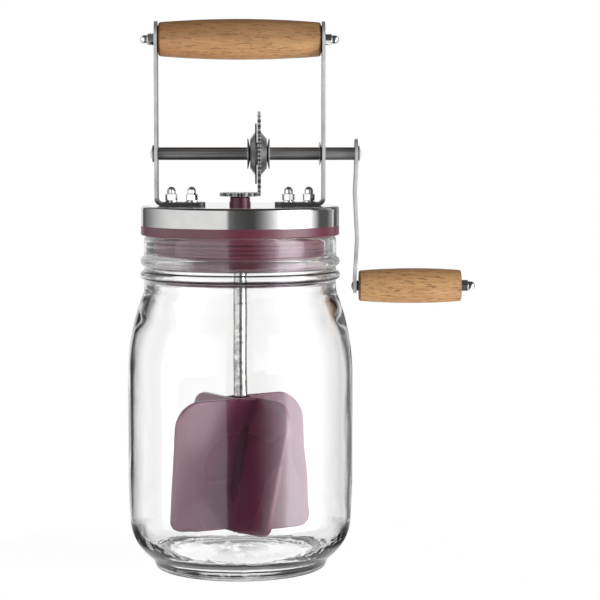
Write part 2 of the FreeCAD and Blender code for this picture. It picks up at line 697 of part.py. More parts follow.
def acorn_nut(piece, x=0):
    """A domed nut standing on z = 0 about the line x. It returns its features."""
    flats = size("nut_flats") / 2
    corner = flats * (2 / math.sqrt(3))
    hex_top = size("nut_hex")
    dome = size("nut_dome_radius")
    shoulder = size("nut_height") - dome

    hexagon = piece.sketch("XY_Plane", shift=(x, 0, 0))
    points = [(corner, 0), (corner / 2, flats), (-corner / 2, flats),
              (-corner, 0), (-corner / 2, -flats), (corner / 2, -flats)]
    outline = Outline(hexagon, *points[0])
    for point in points[1:]:
        outline.line(*point)
    outline.close()
    body = piece.pad(hexagon, hex_top)

    profile = piece.sketch("XZ_Plane", shift=(x, 0, 0))
    cap = Outline(profile, 0, hex_top / 2)
    cap.line(dome, hex_top / 2)
    cap.line(dome, shoulder)
    cap.arc(0, size("nut_height"), dome, 1)
    cap.close()
    top = piece.turn(profile, "V_Axis")

    chamfer = piece.sketch("XZ_Plane", shift=(x, 0, 0))
    upper = Outline(chamfer, flats, hex_top)
    upper.line(corner, hex_top - size("nut_chamfer"))
    upper.line(corner + size("nut_chamfer"), hex_top - size("nut_chamfer"))
    upper.line(corner + size("nut_chamfer"), hex_top)
    upper.close()
    lower = Outline(chamfer, flats, 0)
    lower.line(corner + size("nut_chamfer"), 0)
    lower.line(corner + size("nut_chamfer"), size("nut_chamfer"))
    lower.line(corner, size("nut_chamfer"))
    lower.close()
    edges = piece.groove(chamfer, "V_Axis")

    drill = piece.sketch("XY_Plane", shift=(x, 0, 0))
    circle(drill, NUT_BORE)
    hole = piece.pocket(drill, "nut_bore_depth", reverse=True)
    return [body, top, edges, hole]


def bracket_fasteners():
    washer_top = FOOT_TOP + size("screw_washer_thickness")
    shank_top = washer_top + size("nut_bore_depth") - size("screw_washer_thickness")
    head_low = SHEET_LOW - size("screw_head_height")

    screws = Piece("bracket_screws")
    profile = screws.sketch("XZ_Plane", shift=(INNER_SCREW, 0, 0))
    half_slot = size("screw_slot_width") / 2
    round_off = size("screw_head_height") / 2
    section = Outline(profile, 0, head_low)
    section.line(size("screw_head_radius") - round_off, head_low)
    section.arc(size("screw_head_radius"), head_low + round_off, round_off, 1)
    section.line(size("screw_head_radius"), SHEET_LOW)
    section.line(size("screw_radius"), SHEET_LOW)
    section.line(size("screw_radius"), shank_top)
    section.line(0, shank_top)
    section.close()
    shank = screws.turn(profile, "V_Axis")
    slot = screws.sketch("XY_Plane", shift=(INNER_SCREW, 0, head_low))
    groove = Outline(slot, -half_slot, -size("screw_head_radius"))
    groove.line(half_slot, -size("screw_head_radius"))
    groove.line(half_slot, size("screw_head_radius"))
    groove.line(-half_slot, size("screw_head_radius"))
    groove.close()
    cut = screws.pocket(slot, "screw_slot_depth", reverse=True)
    screws.four_places([shank, cut], size("screw_spacing"))

    washers = Piece("bracket_washers")
    face = washers.sketch("XY_Plane", shift=(INNER_SCREW, 0, 0))
    circle(face, size("screw_washer_radius"))
    circle(face, size("screw_radius") + size("part_gap"))
    plate = washers.pad(face, "screw_washer_thickness")
    washers.four_places([plate], size("screw_spacing"))
    washers.place(z=FOOT_TOP)

    nuts = Piece("bracket_nuts")
    nuts.four_places(acorn_nut(nuts, INNER_SCREW), size("screw_spacing"))
    nuts.place(z=washer_top)


def turned_handle(label, length, crown, left_end, right_end, rounding, bore, x, z):
    """A barrel shaped wooden handle along X with a straight bore."""
    length = size(length)
    rounding = size(rounding)
    left = size(left_end)
    right = size(right_end)
    slant = (right - left) / 2
    half_run = length / 2 - rounding
    half_chord = root(half_run * half_run + slant * slant)

    handle = Piece(label)
    drawing = handle.sketch("XZ_Plane")
    side = Outline(drawing, 0, bore)
    side.line(length, bore)
    side.line(length, right - rounding)
    side.arc(length - rounding, right, rounding, 1)
    side.arc(rounding, left, crown_radius(half_chord, size(crown)), 1)
    side.arc(0, left - rounding, rounding, 1)
    side.close()
    handle.turn(drawing, "H_Axis")
    handle.place(x=x, z=z)


def single_nut(label, x, z, points_right=True):
    nut = Piece(label)
    acorn_nut(nut)
    nut.place(x=x, z=z, axis=Vector(0, 1, 0), angle=90 if points_right else -90)


def top_grip():
    bore = size("rod_radius") + size("part_gap")
    washer_x = GRIP_HALF + size("part_gap")
    turned_handle("top_grip", 2 * GRIP_HALF, "grip_crown", "grip_end_radius",
                  "grip_end_radius", "grip_round", bore, -GRIP_HALF, GRIP)
    ring("grip_washer_left", bore, size("grip_washer_radius"), size("grip_washer_thickness"),
         x=-washer_x - size("grip_washer_thickness"), z=GRIP)
    ring("grip_washer_right", bore, size("grip_washer_radius"), size("grip_washer_thickness"),
         x=washer_x, z=GRIP)
    reach = ARM_OUT + size("part_gap") + size("nut_bore_depth") - size("strip_thickness") / 2
    rod = Piece("grip_rod")
    end = rod.sketch("YZ_Plane")
    circle(end, size("rod_radius"))
    rod.pad(end, 2 * reach, both_ways=True)
    rod.place(z=GRIP)
    single_nut("grip_nut_left", -ARM_OUT - size("part_gap"), GRIP, points_right=False)
    single_nut("grip_nut_right", ARM_OUT + size("part_gap"), GRIP)


def retaining_clip(label, groove_radius, radius):
    """A clip with an open mouth that snaps into a groove. It lies in the YZ plane."""
    mouth = groove_radius - size("clip_grasp")
    reach = root(radius * radius - mouth * mouth)
    inner_reach = root(groove_radius * groove_radius - mouth * mouth)
    clip = Piece(label)
    drawing = clip.sketch("YZ_Plane")
    horseshoe = Outline(drawing, mouth, -reach)
    horseshoe.arc(radius, 0, radius, 1)
    horseshoe.arc(0, radius, radius, 1)
    horseshoe.arc(-radius, 0, radius, 1)
    horseshoe.arc(-mouth, -reach, radius, 1)
    horseshoe.line(-mouth, -inner_reach)
    horseshoe.arc(-groove_radius, 0, groove_radius, -1)
    horseshoe.arc(0, groove_radius, groove_radius, -1)
    horseshoe.arc(groove_radius, 0, groove_radius, -1)
    horseshoe.arc(mouth, -inner_reach, groove_radius, -1)
    horseshoe.close()
    clip.pad(drawing, "clip_thickness")
    return clip


def drive_axle():
    radius = size("axle_radius")
    groove = radius - size("clip_groove")
    shoulder = -ARM_IN + size("axle_play")
    left_head = -ARM_OUT - size("part_gap") - size("end_washer_thickness") - size("part_gap")
    clip_x = ARM_IN - size("clip_arm_gap") - size("clip_thickness")
    slot_left = clip_x - size("part_gap")
    slot_right = clip_x + size("clip_thickness") + size("part_gap")
    tenon_end = CRANK_OUT + size("crank_washer_thickness") + 2 * size("part_gap")

    axle = Piece("drive_axle")
    drawing = axle.sketch("XZ_Plane")
    side = Outline(drawing, left_head - size("axle_end_length"), 0)
    side.line(tenon_end + size("tenon_head_length"), 0)
    side.arc(tenon_end, size("tenon_head_radius"),
             crown_radius(size("tenon_head_radius"), size("tenon_head_length")), 1)
    side.line(tenon_end, size("tenon_radius"))
    side.line(CRANK_IN, size("tenon_radius"))
    side.line(CRANK_IN, radius)
    side.line(slot_right, radius)
    side.line(slot_right, groove)
    side.line(slot_left, groove)
    side.line(slot_left, radius)
    side.line(shoulder, radius)
    side.line(shoulder, size("axle_journal"))
    side.line(left_head, size("axle_journal"))
    side.line(left_head, size("axle_end_head"))
    side.close(crown_radius(size("axle_end_head"), size("axle_end_length")), 1)
    axle.turn(drawing, "H_Axis")
    flats = axle.sketch("YZ_Plane", shift=(0, 0, CRANK_IN))
    for sign in (1, -1):
        strip = Outline(flats, sign * size("tenon_flat"), -radius)
        strip.line(sign * radius, -radius)
        strip.line(sign * radius, radius)
        strip.line(sign * size("tenon_flat"), radius)
        strip.close()
    axle.pocket(flats, tenon_end - CRANK_IN, reverse=True)
    axle.place(z=AXLE)

    ring("axle_end_washer", size("axle_journal") + size("part_gap"), size("end_washer_radius"),
         size("end_washer_thickness"), x=left_head + size("part_gap"), z=AXLE)
    clip = retaining_clip("axle_clip", groove + size("part_gap"), size("clip_radius"))
    clip.place(x=clip_x, z=AXLE)


def toothed_wheel(piece, plane, axis, root_radius, tip_radius, root_width, tip_width, teeth,
                  thickness, bore):
    """A flat wheel with straight sided teeth, one of them on the sketch's x axis."""
    sunk = root_radius - root_width / 2
    disc = piece.sketch(plane)
    circle(disc, root_radius)
    bore(disc)
    piece.pad(disc, thickness)
    cog = piece.sketch(plane)
    tooth = Outline(cog, sunk, -root_width / 2)
    tooth.line(root_radius, -root_width / 2)
    tooth.line(tip_radius, -tip_width / 2)
    tooth.line(tip_radius, tip_width / 2)
    tooth.line(root_radius, root_width / 2)
    tooth.line(sunk, root_width / 2)
    tooth.close()
    one = piece.pad(cog, thickness)
    piece.round_about([one], axis, teeth)


def drive_gear():
    gear = Piece("drive_gear")
    toothed_wheel(gear, "YZ_Plane", "X_Axis", size("gear_radius") - size("gear_dedendum"), GEAR_TIP,
                  size("gear_tooth_root"), size("gear_tooth_tip"), size("gear_teeth"),
                  size("gear_thickness"), lambda disc: circle(disc, AXLE_BORE))
    boss = gear.sketch("YZ_Plane", shift=(0, 0, -size("gear_boss_length")))
    circle(boss, size("gear_boss_radius"))
    circle(boss, AXLE_BORE)
    gear.pad(boss, "gear_boss_length")
    # The wheel is turned so that a gap between two teeth faces straight down.
    gear.place(x=GEAR_LEFT, z=AXLE, axis=Vector(1, 0, 0),
               angle=90 + 180 / size("gear_teeth"))

    ring("gear_backing_disc", AXLE_BORE, size("disc_radius"), size("disc_thickness"),
         x=DISC_LEFT, z=AXLE)


def hub_cup(label, x, depth, side):
    """A pressed conical cup. Its open rim is at x and its flat face lies to the side."""
    sheet = size("hub_sheet")
    cup = Piece(label)
    drawing = cup.sketch("XZ_Plane")
    section = Outline(drawing, side * depth, AXLE_BORE)
    section.line(side * depth, size("hub_face"))
    section.line(0, size("hub_rim"))
    section.line(0, size("hub_rim") - sheet)
    section.line(side * (depth - sheet), size("hub_face") - sheet)
    section.line(side * (depth - sheet), AXLE_BORE)
    section.close()
    cup.turn(drawing, "H_Axis")
    cup.place(x=x, z=AXLE)


def lock_washer(label, x, side):
    """A dished washer that grips the axle at x. Its rim stands away to the side."""
    sheet = size("lock_sheet")
    washer = Piece(label)
    drawing = washer.sketch("XZ_Plane")
    section = Outline(drawing, 0, AXLE_BORE)
    section.line(side * sheet, AXLE_BORE)
    section.line(side * (size("lock_dish") + sheet), size("lock_radius"))
    section.line(side * size("lock_dish"), size("lock_radius"))
    section.close()
    washer.turn(drawing, "H_Axis")
    washer.place(x=x, z=AXLE)


def gear_stack():
    drive_gear()
    hub_cup("gear_hub_left", DISC_LEFT, size("left_hub_depth"), -1)
    hub_cup("gear_hub_right", GEAR_RIGHT, size("right_hub_depth"), 1)
    lock_washer("gear_washer_left", STACK_LEFT, -1)
    lock_washer("gear_washer_right", STACK_RIGHT, 1)


def crank_arm():
    half = size("crank_thickness") / 2
    bend = size("crank_set")
    length = size("crank_length")
    top = size("crank_top_radius")
    end = size("crank_end_radius")
    spare = size("crank_thickness")
    # The strip's middle line, from the top down: upright at the axle, then set to the
    # left, to the right and back, so that it ends a little left of where it starts.
    line = [
        (size(0), top),
        (size(0), -top),
        (-bend, -size("crank_left_bend")),
        (bend, -size("crank_right_bend")),
        (-bend, -length + end),
        (-bend, -length - end),
    ]

    arm = Piece("crank_arm")
    section = arm.sketch("XZ_Plane")
    strip = Outline(section, line[0][0] + half, line[0][1])
    for x, z in line[1:]:
        strip.line(x + half, z)
    for x, z in reversed(line):
        strip.line(x - half, z)
    strip.close()
    arm.pad(section, 2 * top, both_ways=True)

    # The waste outside the tapered outline, on both sides of the strip.
    slope = (top - end) / length
    run = root(1 - slope * slope)
    for sign in (1, -1):
        outline = arm.sketch("YZ_Plane")
        waste = Outline(outline, 0, top)
        waste.arc(sign * top * run, top * slope, top, -sign)
        waste.line(sign * end * run, -length + end * slope)
        waste.arc(0, -length - end, end, -sign)
        waste.line(0, -length - end - spare)
        waste.line(sign * (top + spare), -length - end - spare)
        waste.line(sign * (top + spare), top + spare)
        waste.line(0, top + spare)
        waste.close()
        arm.pocket(outline, 8 * size("crank_thickness"), both_ways=True)

    holes = arm.sketch("YZ_Plane")
    flatted_round(holes, size("tenon_radius") + size("part_gap"),
                  size("tenon_flat") + size("part_gap"))
    circle(holes, size("pin_radius") + size("part_gap"), y=-length)
    arm.pocket(holes, 8 * size("crank_thickness"), both_ways=True)
    arm.place(x=CRANK_MIDDLE, z=AXLE)

    washer_bore = size("tenon_radius") + size("part_gap")
    ring("crank_washer", washer_bore, size("crank_washer_radius"),
         size("crank_washer_thickness"), x=CRANK_OUT + size("part_gap"), z=AXLE)


def knob_and_pin():
    bore = size("pin_radius") + size("running_gap")
    turned_handle("knob", "knob_length", "knob_crown", "knob_left_radius",
                  "knob_right_radius", "knob_round", bore, KNOB_X, PIN)

    head_x = PIN_X - size("crank_thickness") / 2
    pin_end = KNOB_NUT_X + size("nut_bore_depth") - size("crank_thickness") / 2
    pin = Piece("knob_pin")
    drawing = pin.sketch("XZ_Plane")
    side = Outline(drawing, head_x - size("pin_head_length"), 0)
    side.line(pin_end, 0)
    side.line(pin_end, size("pin_radius"))
    side.line(head_x, size("pin_radius"))
    side.line(head_x, size("pin_head_radius"))
    side.close(crown_radius(size("pin_head_radius"), size("pin_head_length")), 1)
    pin.turn(drawing, "H_Axis")
    pin.place(z=PIN)

    ring("knob_spacer", size("pin_radius") + size("part_gap"), size("spacer_radius"),
         size("spacer_length"), x=SPACER_X, z=PIN)
    single_nut("knob_nut", KNOB_NUT_X, PIN)


def pinion():
    wheel = Piece("pinion")

    def flatted_hole(disc):
        flatted_round(disc, size("stem_top_radius") + size("part_gap"),
                      size("stem_top_flat") + size("part_gap"))

    toothed_wheel(wheel, "XY_Plane", "Z_Axis", PINION_RADIUS - size("pinion_dedendum"),
                  PINION_RADIUS + size("pinion_addendum"), size("pinion_tooth_root"),
                  size("pinion_tooth_tip"), size("pinion_teeth"), size("pinion_thickness"),
                  flatted_hole)
    wheel.place(z=PINION_LOW)


def paddle_stem():
    radius = size("stem_radius")
    top = size("stem_top_radius")
    groove = radius - size("clip_groove")
    floor = PADDLE_LOW + size("hub_floor")
    bush_low = SHEET_LOW - size("bush_shank_drop")
    clip_top = bush_low - size("stem_clip_drop")
    clip_low = clip_top - size("clip_thickness")

    stem = Piece("paddle_stem")
    drawing = stem.sketch("XZ_Plane")
    side = Outline(drawing, 0, floor)
    side.line(radius, floor)
    side.line(radius, clip_low - size("part_gap"))
    side.line(groove, clip_low - size("part_gap"))
    side.line(groove, clip_top + size("part_gap"))
    side.line(radius, clip_top + size("part_gap"))
    side.line(radius, PINION_LOW)
    side.line(top, PINION_LOW)
    side.line(top, PINION_TOP)
    side.line(0, PINION_TOP)
    side.close()
    stem.turn(drawing, "V_Axis")
    flats = stem.sketch("XY_Plane", shift=(0, 0, PINION_TOP))
    for sign in (1, -1):
        strip = Outline(flats, sign * size("stem_top_flat"), -radius)
        strip.line(sign * radius, -radius)
        strip.line(sign * radius, radius)
        strip.line(sign * size("stem_top_flat"), radius)
        strip.close()
    stem.pocket(flats, size("pinion_thickness"))
    tapping = stem.sketch("XY_Plane", shift=(0, 0, floor))
    circle(tapping, size("paddle_screw_radius") + size("part_gap"))
    stem.pocket(tapping, size("paddle_screw_length") + size("part_gap"), reverse=True)

    clip = retaining_clip("stem_clip", groove + size("part_gap"), size("stem_clip_radius"))
    clip.place(z=clip_top, axis=Vector(0, 1, 0), angle=90)


def paddle():
    height = size("paddle_height")
    half = height / 2
    reach = MOUTH - size("paddle_mouth_gap")
    pitch = size("blade_pitch")
    inner = half * tangent(pitch) + size("blade_thickness") / 2
    low_round = size("blade_low_round")
    top_round = size("blade_top_round")

    blades = Piece("paddle")
    core = blades.sketch("XY_Plane", shift=(0, 0, PADDLE_LOW))
    circle(core, size("stem_radius") + size("part_gap") + size("hub_wall"))
    blades.pad(core, height)
    # A blade is a flat plate tilted about its own radius. Its inner edge is notched to a
    # point half way up, so that the plates close on one another round the hub.
    face = blades.sketch("XZ_Plane", shift=(0, PADDLE_LOW + half, 0), tilt=-pitch)
    plate = Outline(face, -inner, -half)
    plate.line(reach - low_round, -half)
    plate.arc(reach, -half + low_round, low_round, 1)
    plate.line(reach, half - top_round)
    plate.arc(reach - top_round, half, top_round, 1)
    plate.line(-inner, half)
    plate.line(0, 0)
    plate.close()
    blade = blades.pad(face, "blade_thickness", both_ways=True)
    blades.round_about([blade], "Z_Axis", size("blade_count"))
    socket = blades.sketch("XY_Plane", shift=(0, 0, PADDLE_LOW + size("hub_floor")))
    circle(socket, size("stem_radius") + size("part_gap"))
    blades.pocket(socket, height, reverse=True)
    hole = blades.sketch("XY_Plane", shift=(0, 0, PADDLE_LOW))
    circle(hole, size("paddle_screw_radius") + size("part_gap"))
    blades.pocket(hole, height, both_ways=True)
    blades.place(axis=Vector(0, 0, 1), angle="blade_bearing")

    screw = Piece("paddle_screw")
    drawing = screw.sketch("XZ_Plane")
    head_low = PADDLE_LOW - size("paddle_screw_head_height")
    shank_top = PADDLE_LOW + size("hub_floor") + size("paddle_screw_length")
    side = Outline(drawing, 0, head_low)
    side.line(size("paddle_screw_head") / 2, head_low)
    side.arc(size("paddle_screw_head"), PADDLE_LOW, size("paddle_screw_head"), 1)
    side.line(size("paddle_screw_radius"), PADDLE_LOW)
    side.line(size("paddle_screw_radius"), shank_top)
    side.line(0, shank_top)
    side.close()
    screw.turn(drawing, "V_Axis")


def build():
    glass_jar()
    lid_cap()
    lid_seal()
    stem_bush()
    bracket("bracket_left", -1, size("axle_journal") + size("running_gap"))
    bracket("bracket_right", 1, size("axle_radius") + size("running_gap"))
    bracket_fasteners()
    top_grip()
    drive_axle()
    gear_stack()
    crank_arm()
    knob_and_pin()
    pinion()
    paddle_stem()
    paddle()
    DOC.recompute()


def check():
    """Stop if any object failed or any piece isn't a sound solid."""
    for thing in DOC.Objects:
        for word in ("Invalid", "Error"):
            if word in thing.State:
                raise RuntimeError(f"{thing.Label} is {word}")
    for piece in pieces():
        if piece.Shape.isNull() or not piece.Shape.isValid() or not piece.Shape.Solids:
            raise RuntimeError(f"{piece.Label} has no valid solid")


def pieces():
    return [thing for thing in DOC.Objects if thing.TypeId == "PartDesign::Body"]


def export():
    os.makedirs("parts", exist_ok=True)
    for piece in pieces():
        piece.Shape.exportStep(f"parts/{piece.Label}.step")
        print(piece.Label, len(piece.Shape.Solids), round(piece.Shape.Volume, 1))


build()
check()
export()
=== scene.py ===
import math

import bmesh
import bpy
from mathutils import Matrix, Vector


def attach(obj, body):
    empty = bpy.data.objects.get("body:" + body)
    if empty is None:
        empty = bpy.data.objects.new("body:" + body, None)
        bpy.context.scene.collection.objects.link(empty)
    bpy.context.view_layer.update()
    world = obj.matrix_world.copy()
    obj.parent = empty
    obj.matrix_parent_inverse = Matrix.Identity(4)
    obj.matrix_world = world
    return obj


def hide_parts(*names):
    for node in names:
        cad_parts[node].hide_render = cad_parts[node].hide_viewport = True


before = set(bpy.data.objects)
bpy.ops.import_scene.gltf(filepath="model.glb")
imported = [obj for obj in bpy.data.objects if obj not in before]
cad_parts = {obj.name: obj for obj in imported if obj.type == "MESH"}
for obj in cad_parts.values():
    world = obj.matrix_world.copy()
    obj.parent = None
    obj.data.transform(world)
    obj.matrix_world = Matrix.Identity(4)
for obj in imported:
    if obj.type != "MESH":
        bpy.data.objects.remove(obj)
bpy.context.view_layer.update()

# A glass butter churn. The jar's foot is centred on the origin, +X points to the crank.
# Sizes of pieces are millimetres, as in the workshop drawing, and MM turns them to metres.
MM = 0.001

# Colours, as linear light.
BEECH_PALE = (0.655, 0.378, 0.166, 1)
BEECH_MID = (0.480, 0.247, 0.102, 1)
BEECH_DARK = (0.175, 0.068, 0.028, 1)
BEECH_RED = (0.447, 0.193, 0.074, 1)
PLUM_SILICONE = (0.112, 0.018, 0.040, 1)
PLUM_PLASTIC = (0.122, 0.011, 0.044, 1)
PLUM_PAINTED_HIGHLIGHT = (0.230, 0.090, 0.125, 1)
BRIGHT_STEEL = (0.480, 0.480, 0.476, 1)
SATIN_STEEL = (0.600, 0.600, 0.595, 1)
ZINC_GREY = (0.300, 0.302, 0.305, 1)
GEAR_GREY = (0.300, 0.300, 0.305, 1)
BLACK_OXIDE = (0.060, 0.060, 0.062, 1)
HAMMERED_STEEL = (0.850, 0.850, 0.840, 1)
NUT_STEEL = (0.800, 0.800, 0.790, 1)
STEM_STEEL = (0.500, 0.500, 0.495, 1)
STRIP_STEEL = (0.880, 0.880, 0.875, 1)
STRIP_SHADED = (0.100, 0.100, 0.102, 1)
TOOTH_DARK = (0.140, 0.140, 0.142, 1)
TOOTH_PALE = (0.400, 0.400, 0.405, 1)
TOOTH_GRIME = (0.070, 0.070, 0.070, 1)
TOOTH_PAINTED_GLINT = (0.950, 0.950, 0.940, 1)
GLASS_SHEEN = (0.970, 0.900, 1.000, 1)
GLASS_HAZE = (0.950, 0.950, 0.960, 1)
GLASS_SHADOW = (0.970, 0.975, 0.970, 1)
TABLE_WHITE = (0.860, 0.860, 0.860, 1)

# The way that brush lines run: round the lid, across the axle, along the stem, or nowhere.
ROUND = (60, 60, 9000)
ACROSS = (7000, 60, 60)
UPRIGHT = (900, 900, 60)
NO_GRAIN = (900, 900, 900)

# Places that several pieces share.
GRIP_HEIGHT = 258.2
AXLE_HEIGHT = 202.85
KNOB_HEIGHT = 138.25
HANDLE_BORE = 1.54
PADDLE_LOW = 18.2
AXLE_ENDS = (-42.5, 58.2)  # where the riveted ends begin
COLLAR = (140, 165)  # the heights between which the jar's beads and its painted dark lines lie
FEET = (-33.5, -23.6, 23.6, 33.5)  # the screws in the brackets' feet, along X
UP, LEFT, RIGHT = (0, 0, 1), (-1, 0, 0), (1, 0, 0)
TO_X = (math.pi / 2, 0, math.pi / 2)


def mix_colour(low, high, share):
    return tuple(a + (b - a) * share for a, b in zip(low, high))


def kept(mesh, name):
    """What was drawn in mesh, as mesh data."""
    data = bpy.data.meshes.new(name)
    mesh.to_mesh(data)
    mesh.free()
    return data


def placed(name, data):
    """A new object in the scene."""
    thing = bpy.data.objects.new(name, data)
    bpy.context.collection.objects.link(thing)
    return thing


# ---- materials

class Finish:
    """A material under construction, with short ways to add and join its nodes."""

    def __init__(self, name):
        self.material = bpy.data.materials.new(name)
        self.material.use_nodes = True
        self.nodes = self.material.node_tree.nodes
        self.links = self.material.node_tree.links
        self.skin = self.nodes["Principled BSDF"]
        self.output = self.nodes["Material Output"]
        spot = self.add("ShaderNodeTexCoord").outputs
        self.place, self.facing = spot["Object"], spot["Normal"]

    def add(self, kind, **settings):
        node = self.nodes.new(kind)
        for name, value in settings.items():
            setattr(node, name, value)
        return node

    def set(self, **values):
        for name, value in values.items():
            self.skin.inputs[name.replace("_", " ")].default_value = value

    def join(self, source, target):
        self.links.new(source, target)

    def stretched(self, scale, start=None):
        """Object coordinates (or start), scaled along each axis."""
        mapping = self.add("ShaderNodeMapping")
        mapping.inputs["Scale"].default_value = scale
        self.join(start or self.place, mapping.inputs["Vector"])
        return mapping.outputs["Vector"]

    def axes(self, vector=None):
        """X, Y and Z of Object coordinates (or vector), each by itself."""
        node = self.add("ShaderNodeSeparateXYZ")
        self.join(vector or self.place, node.inputs["Vector"])
        return node.outputs

    def length(self, vector):
        node = self.add("ShaderNodeVectorMath", operation="LENGTH")
        self.join(vector, node.inputs["Vector"])
        return node.outputs["Value"]

    def marked(self, name):
        """What a section or a tooth was marked with, from nought to one."""
        return self.add("ShaderNodeAttribute", attribute_name=name).outputs["Fac"]

    def cloud(self, where, detail=3.0, scale=1.0, roughness=0.5, distortion=0.0):
        texture = self.add("ShaderNodeTexNoise")
        texture.inputs["Scale"].default_value = scale
        texture.inputs["Detail"].default_value = detail
        texture.inputs["Roughness"].default_value = roughness
        texture.inputs["Distortion"].default_value = distortion
        self.join(where, texture.inputs["Vector"])
        return texture.outputs["Fac"]

    def ramp(self, factor, *stops):
        """Stops are (position, colour) pairs, a colour being a tuple or a grey."""
        node = self.add("ShaderNodeValToRGB")
        elements = node.color_ramp.elements
        while len(elements) < len(stops):
            elements.new(0.5)
        for element, (position, colour) in zip(elements, stops):
            element.position = position
            element.color = colour if isinstance(colour, tuple) else (colour, colour, colour, 1)
        self.join(factor, node.inputs["Fac"])
        return node.outputs["Color"]

    def profile(self, distance, start, end, *stops):
        """A ramp over a distance from start to end, with its stops in millimetres.

        A ramp is kept as 256 steps, so a short one draws finer lines.
        """
        span = end - start
        share = self.sums("SUBTRACT", distance, start * MM) if start else distance
        if span != 1 / MM:
            share = self.sums("MULTIPLY", share, 1 / (span * MM))
        return self.ramp(share, *[((at - start) / span, value) for at, value in stops])

    def fade(self, source, start, end):
        """One up to start and nought from end on, softly."""
        node = self.add("ShaderNodeMapRange", interpolation_type="SMOOTHSTEP")
        for name, value in (("From Min", start), ("From Max", end), ("To Min", 1.0),
                            ("To Max", 0.0)):
            node.inputs[name].default_value = value
        self.join(source, node.inputs["Value"])
        return node.outputs["Result"]

    def blend(self, factor, low, high, kind="MIX"):
        node = self.add("ShaderNodeMix", data_type="RGBA", blend_type=kind)
        for name, sort, source in (("Factor", "VALUE", factor), ("A", "RGBA", low),
                                   ("B", "RGBA", high)):
            socket = next(s for s in node.inputs if s.name == name and s.type == sort)
            if isinstance(source, (tuple, float, int)):
                socket.default_value = source
            else:
                self.join(source, socket)
        return next(s for s in node.outputs if s.type == "RGBA")

    def sums(self, operation, first, second=0.0):
        node = self.add("ShaderNodeMath", operation=operation)
        for socket, source in zip(node.inputs, (first, second)):
            if isinstance(source, (float, int)):
                socket.default_value = source
            else:
                self.join(source, socket)
        return node.outputs["Value"]

    def times(self, first, *others):
        for other in others:
            first = self.sums("MULTIPLY", first, other)
        return first

    def rest(self, share):
        """What is left of one."""
        return self.sums("SUBTRACT", 1.0, share)

    def layered(self, share, first, second):
        """The shader first, and second as far as share says."""
        node = self.add("ShaderNodeMixShader")
        for socket, source in zip(node.inputs, (share, first, second)):
            self.join(source, socket)
        return node.outputs["Shader"]

    def roughness(self, factor, low, high):
        node = self.add("ShaderNodeMapRange")
        node.inputs["To Min"].default_value = low
        node.inputs["To Max"].default_value = high
        self.join(factor, node.inputs["Value"])
        self.join(node.outputs["Result"], self.skin.inputs["Roughness"])

    def bump(self, height, depth, strength=1.0):
        node = self.add("ShaderNodeBump")
        node.inputs["Strength"].default_value = strength
        node.inputs["Distance"].default_value = depth
        self.join(height, node.inputs["Height"])
        self.join(node.outputs["Normal"], self.skin.inputs["Normal"])

    def colour(self, source):
        self.join(source, self.skin.inputs["Base Color"])


def beech():
    """Turned beech, oiled: pale tan with short dark flecks along X."""
    wood = Finish("beech")
    bands = wood.cloud(wood.stretched((14, 130, 130)), detail=4, distortion=0.6)
    tone = wood.ramp(bands, (0.30, BEECH_MID), (0.52, mix_colour(BEECH_MID, BEECH_PALE, 0.55)),
                     (0.72, BEECH_PALE))
    streaks = wood.cloud(wood.stretched((110, 1100, 1100)), detail=4, roughness=0.65)
    streaked = wood.blend(wood.ramp(streaks, (0.44, 0.0), (0.66, 0.42)), tone, BEECH_DARK)
    flecks = wood.cloud(wood.stretched((230, 1500, 1500)), detail=1.0)
    fleck_share = wood.ramp(flecks, (0.60, 0.0), (0.67, 0.65))
    # The heartwood is redder to the left, where the stick it was turned from met the pith.
    spot = wood.axes()
    reach = wood.sums("ADD", wood.times(spot["X"], 9.0), 0.40)
    patches = wood.times(wood.cloud(wood.stretched((16, 30, 30)), detail=1), 0.5)
    heart = wood.ramp(wood.sums("ADD", reach, patches), (0.30, 0.60), (0.80, 0.0))
    streaked = wood.blend(heart, streaked, BEECH_RED)
    # The grip is painted darkest on top, a painted shade.
    painted_top_shade = wood.profile(spot["Z"], 248, 268, (251.2, 1.0), (254, 0.90), (257.2, 0.82),
                        (259.2, 0.70), (266, 0.70))
    streaked = wood.blend(1.0, streaked, painted_top_shade, "MULTIPLY")
    tone = wood.blend(fleck_share, streaked, BEECH_DARK)
    # The marked ends and their rounded corners are painted darker: painted shade.
    wood.colour(wood.blend(wood.times(wood.marked("painted_edge"), 0.75), tone, BEECH_DARK))
    wood.roughness(flecks, 0.42, 0.62)
    wood.bump(streaks, 0.05 * MM, strength=0.5)
    return wood.material


def brushed(name, colour, scale, rough, depth=0.004, mottle=0.06, grain=90):
    """Bright or satin steel with fine brush lines. scale sets their direction."""
    steel = Finish(name)
    steel.set(Metallic=1.0)
    lines = steel.cloud(steel.stretched(scale), detail=2)
    patches = steel.cloud(steel.place, detail=2, scale=grain)
    pale = tuple(min(1.0, part * (1 + mottle)) for part in colour[:3]) + (1,)
    deep = tuple(part * (1 - mottle) for part in colour[:3]) + (1,)
    steel.colour(steel.ramp(patches, (0.3, deep), (0.7, pale)))
    steel.roughness(lines, rough * 0.75, rough * 1.25)
    steel.bump(lines, depth * MM, strength=0.6)
    return steel.material


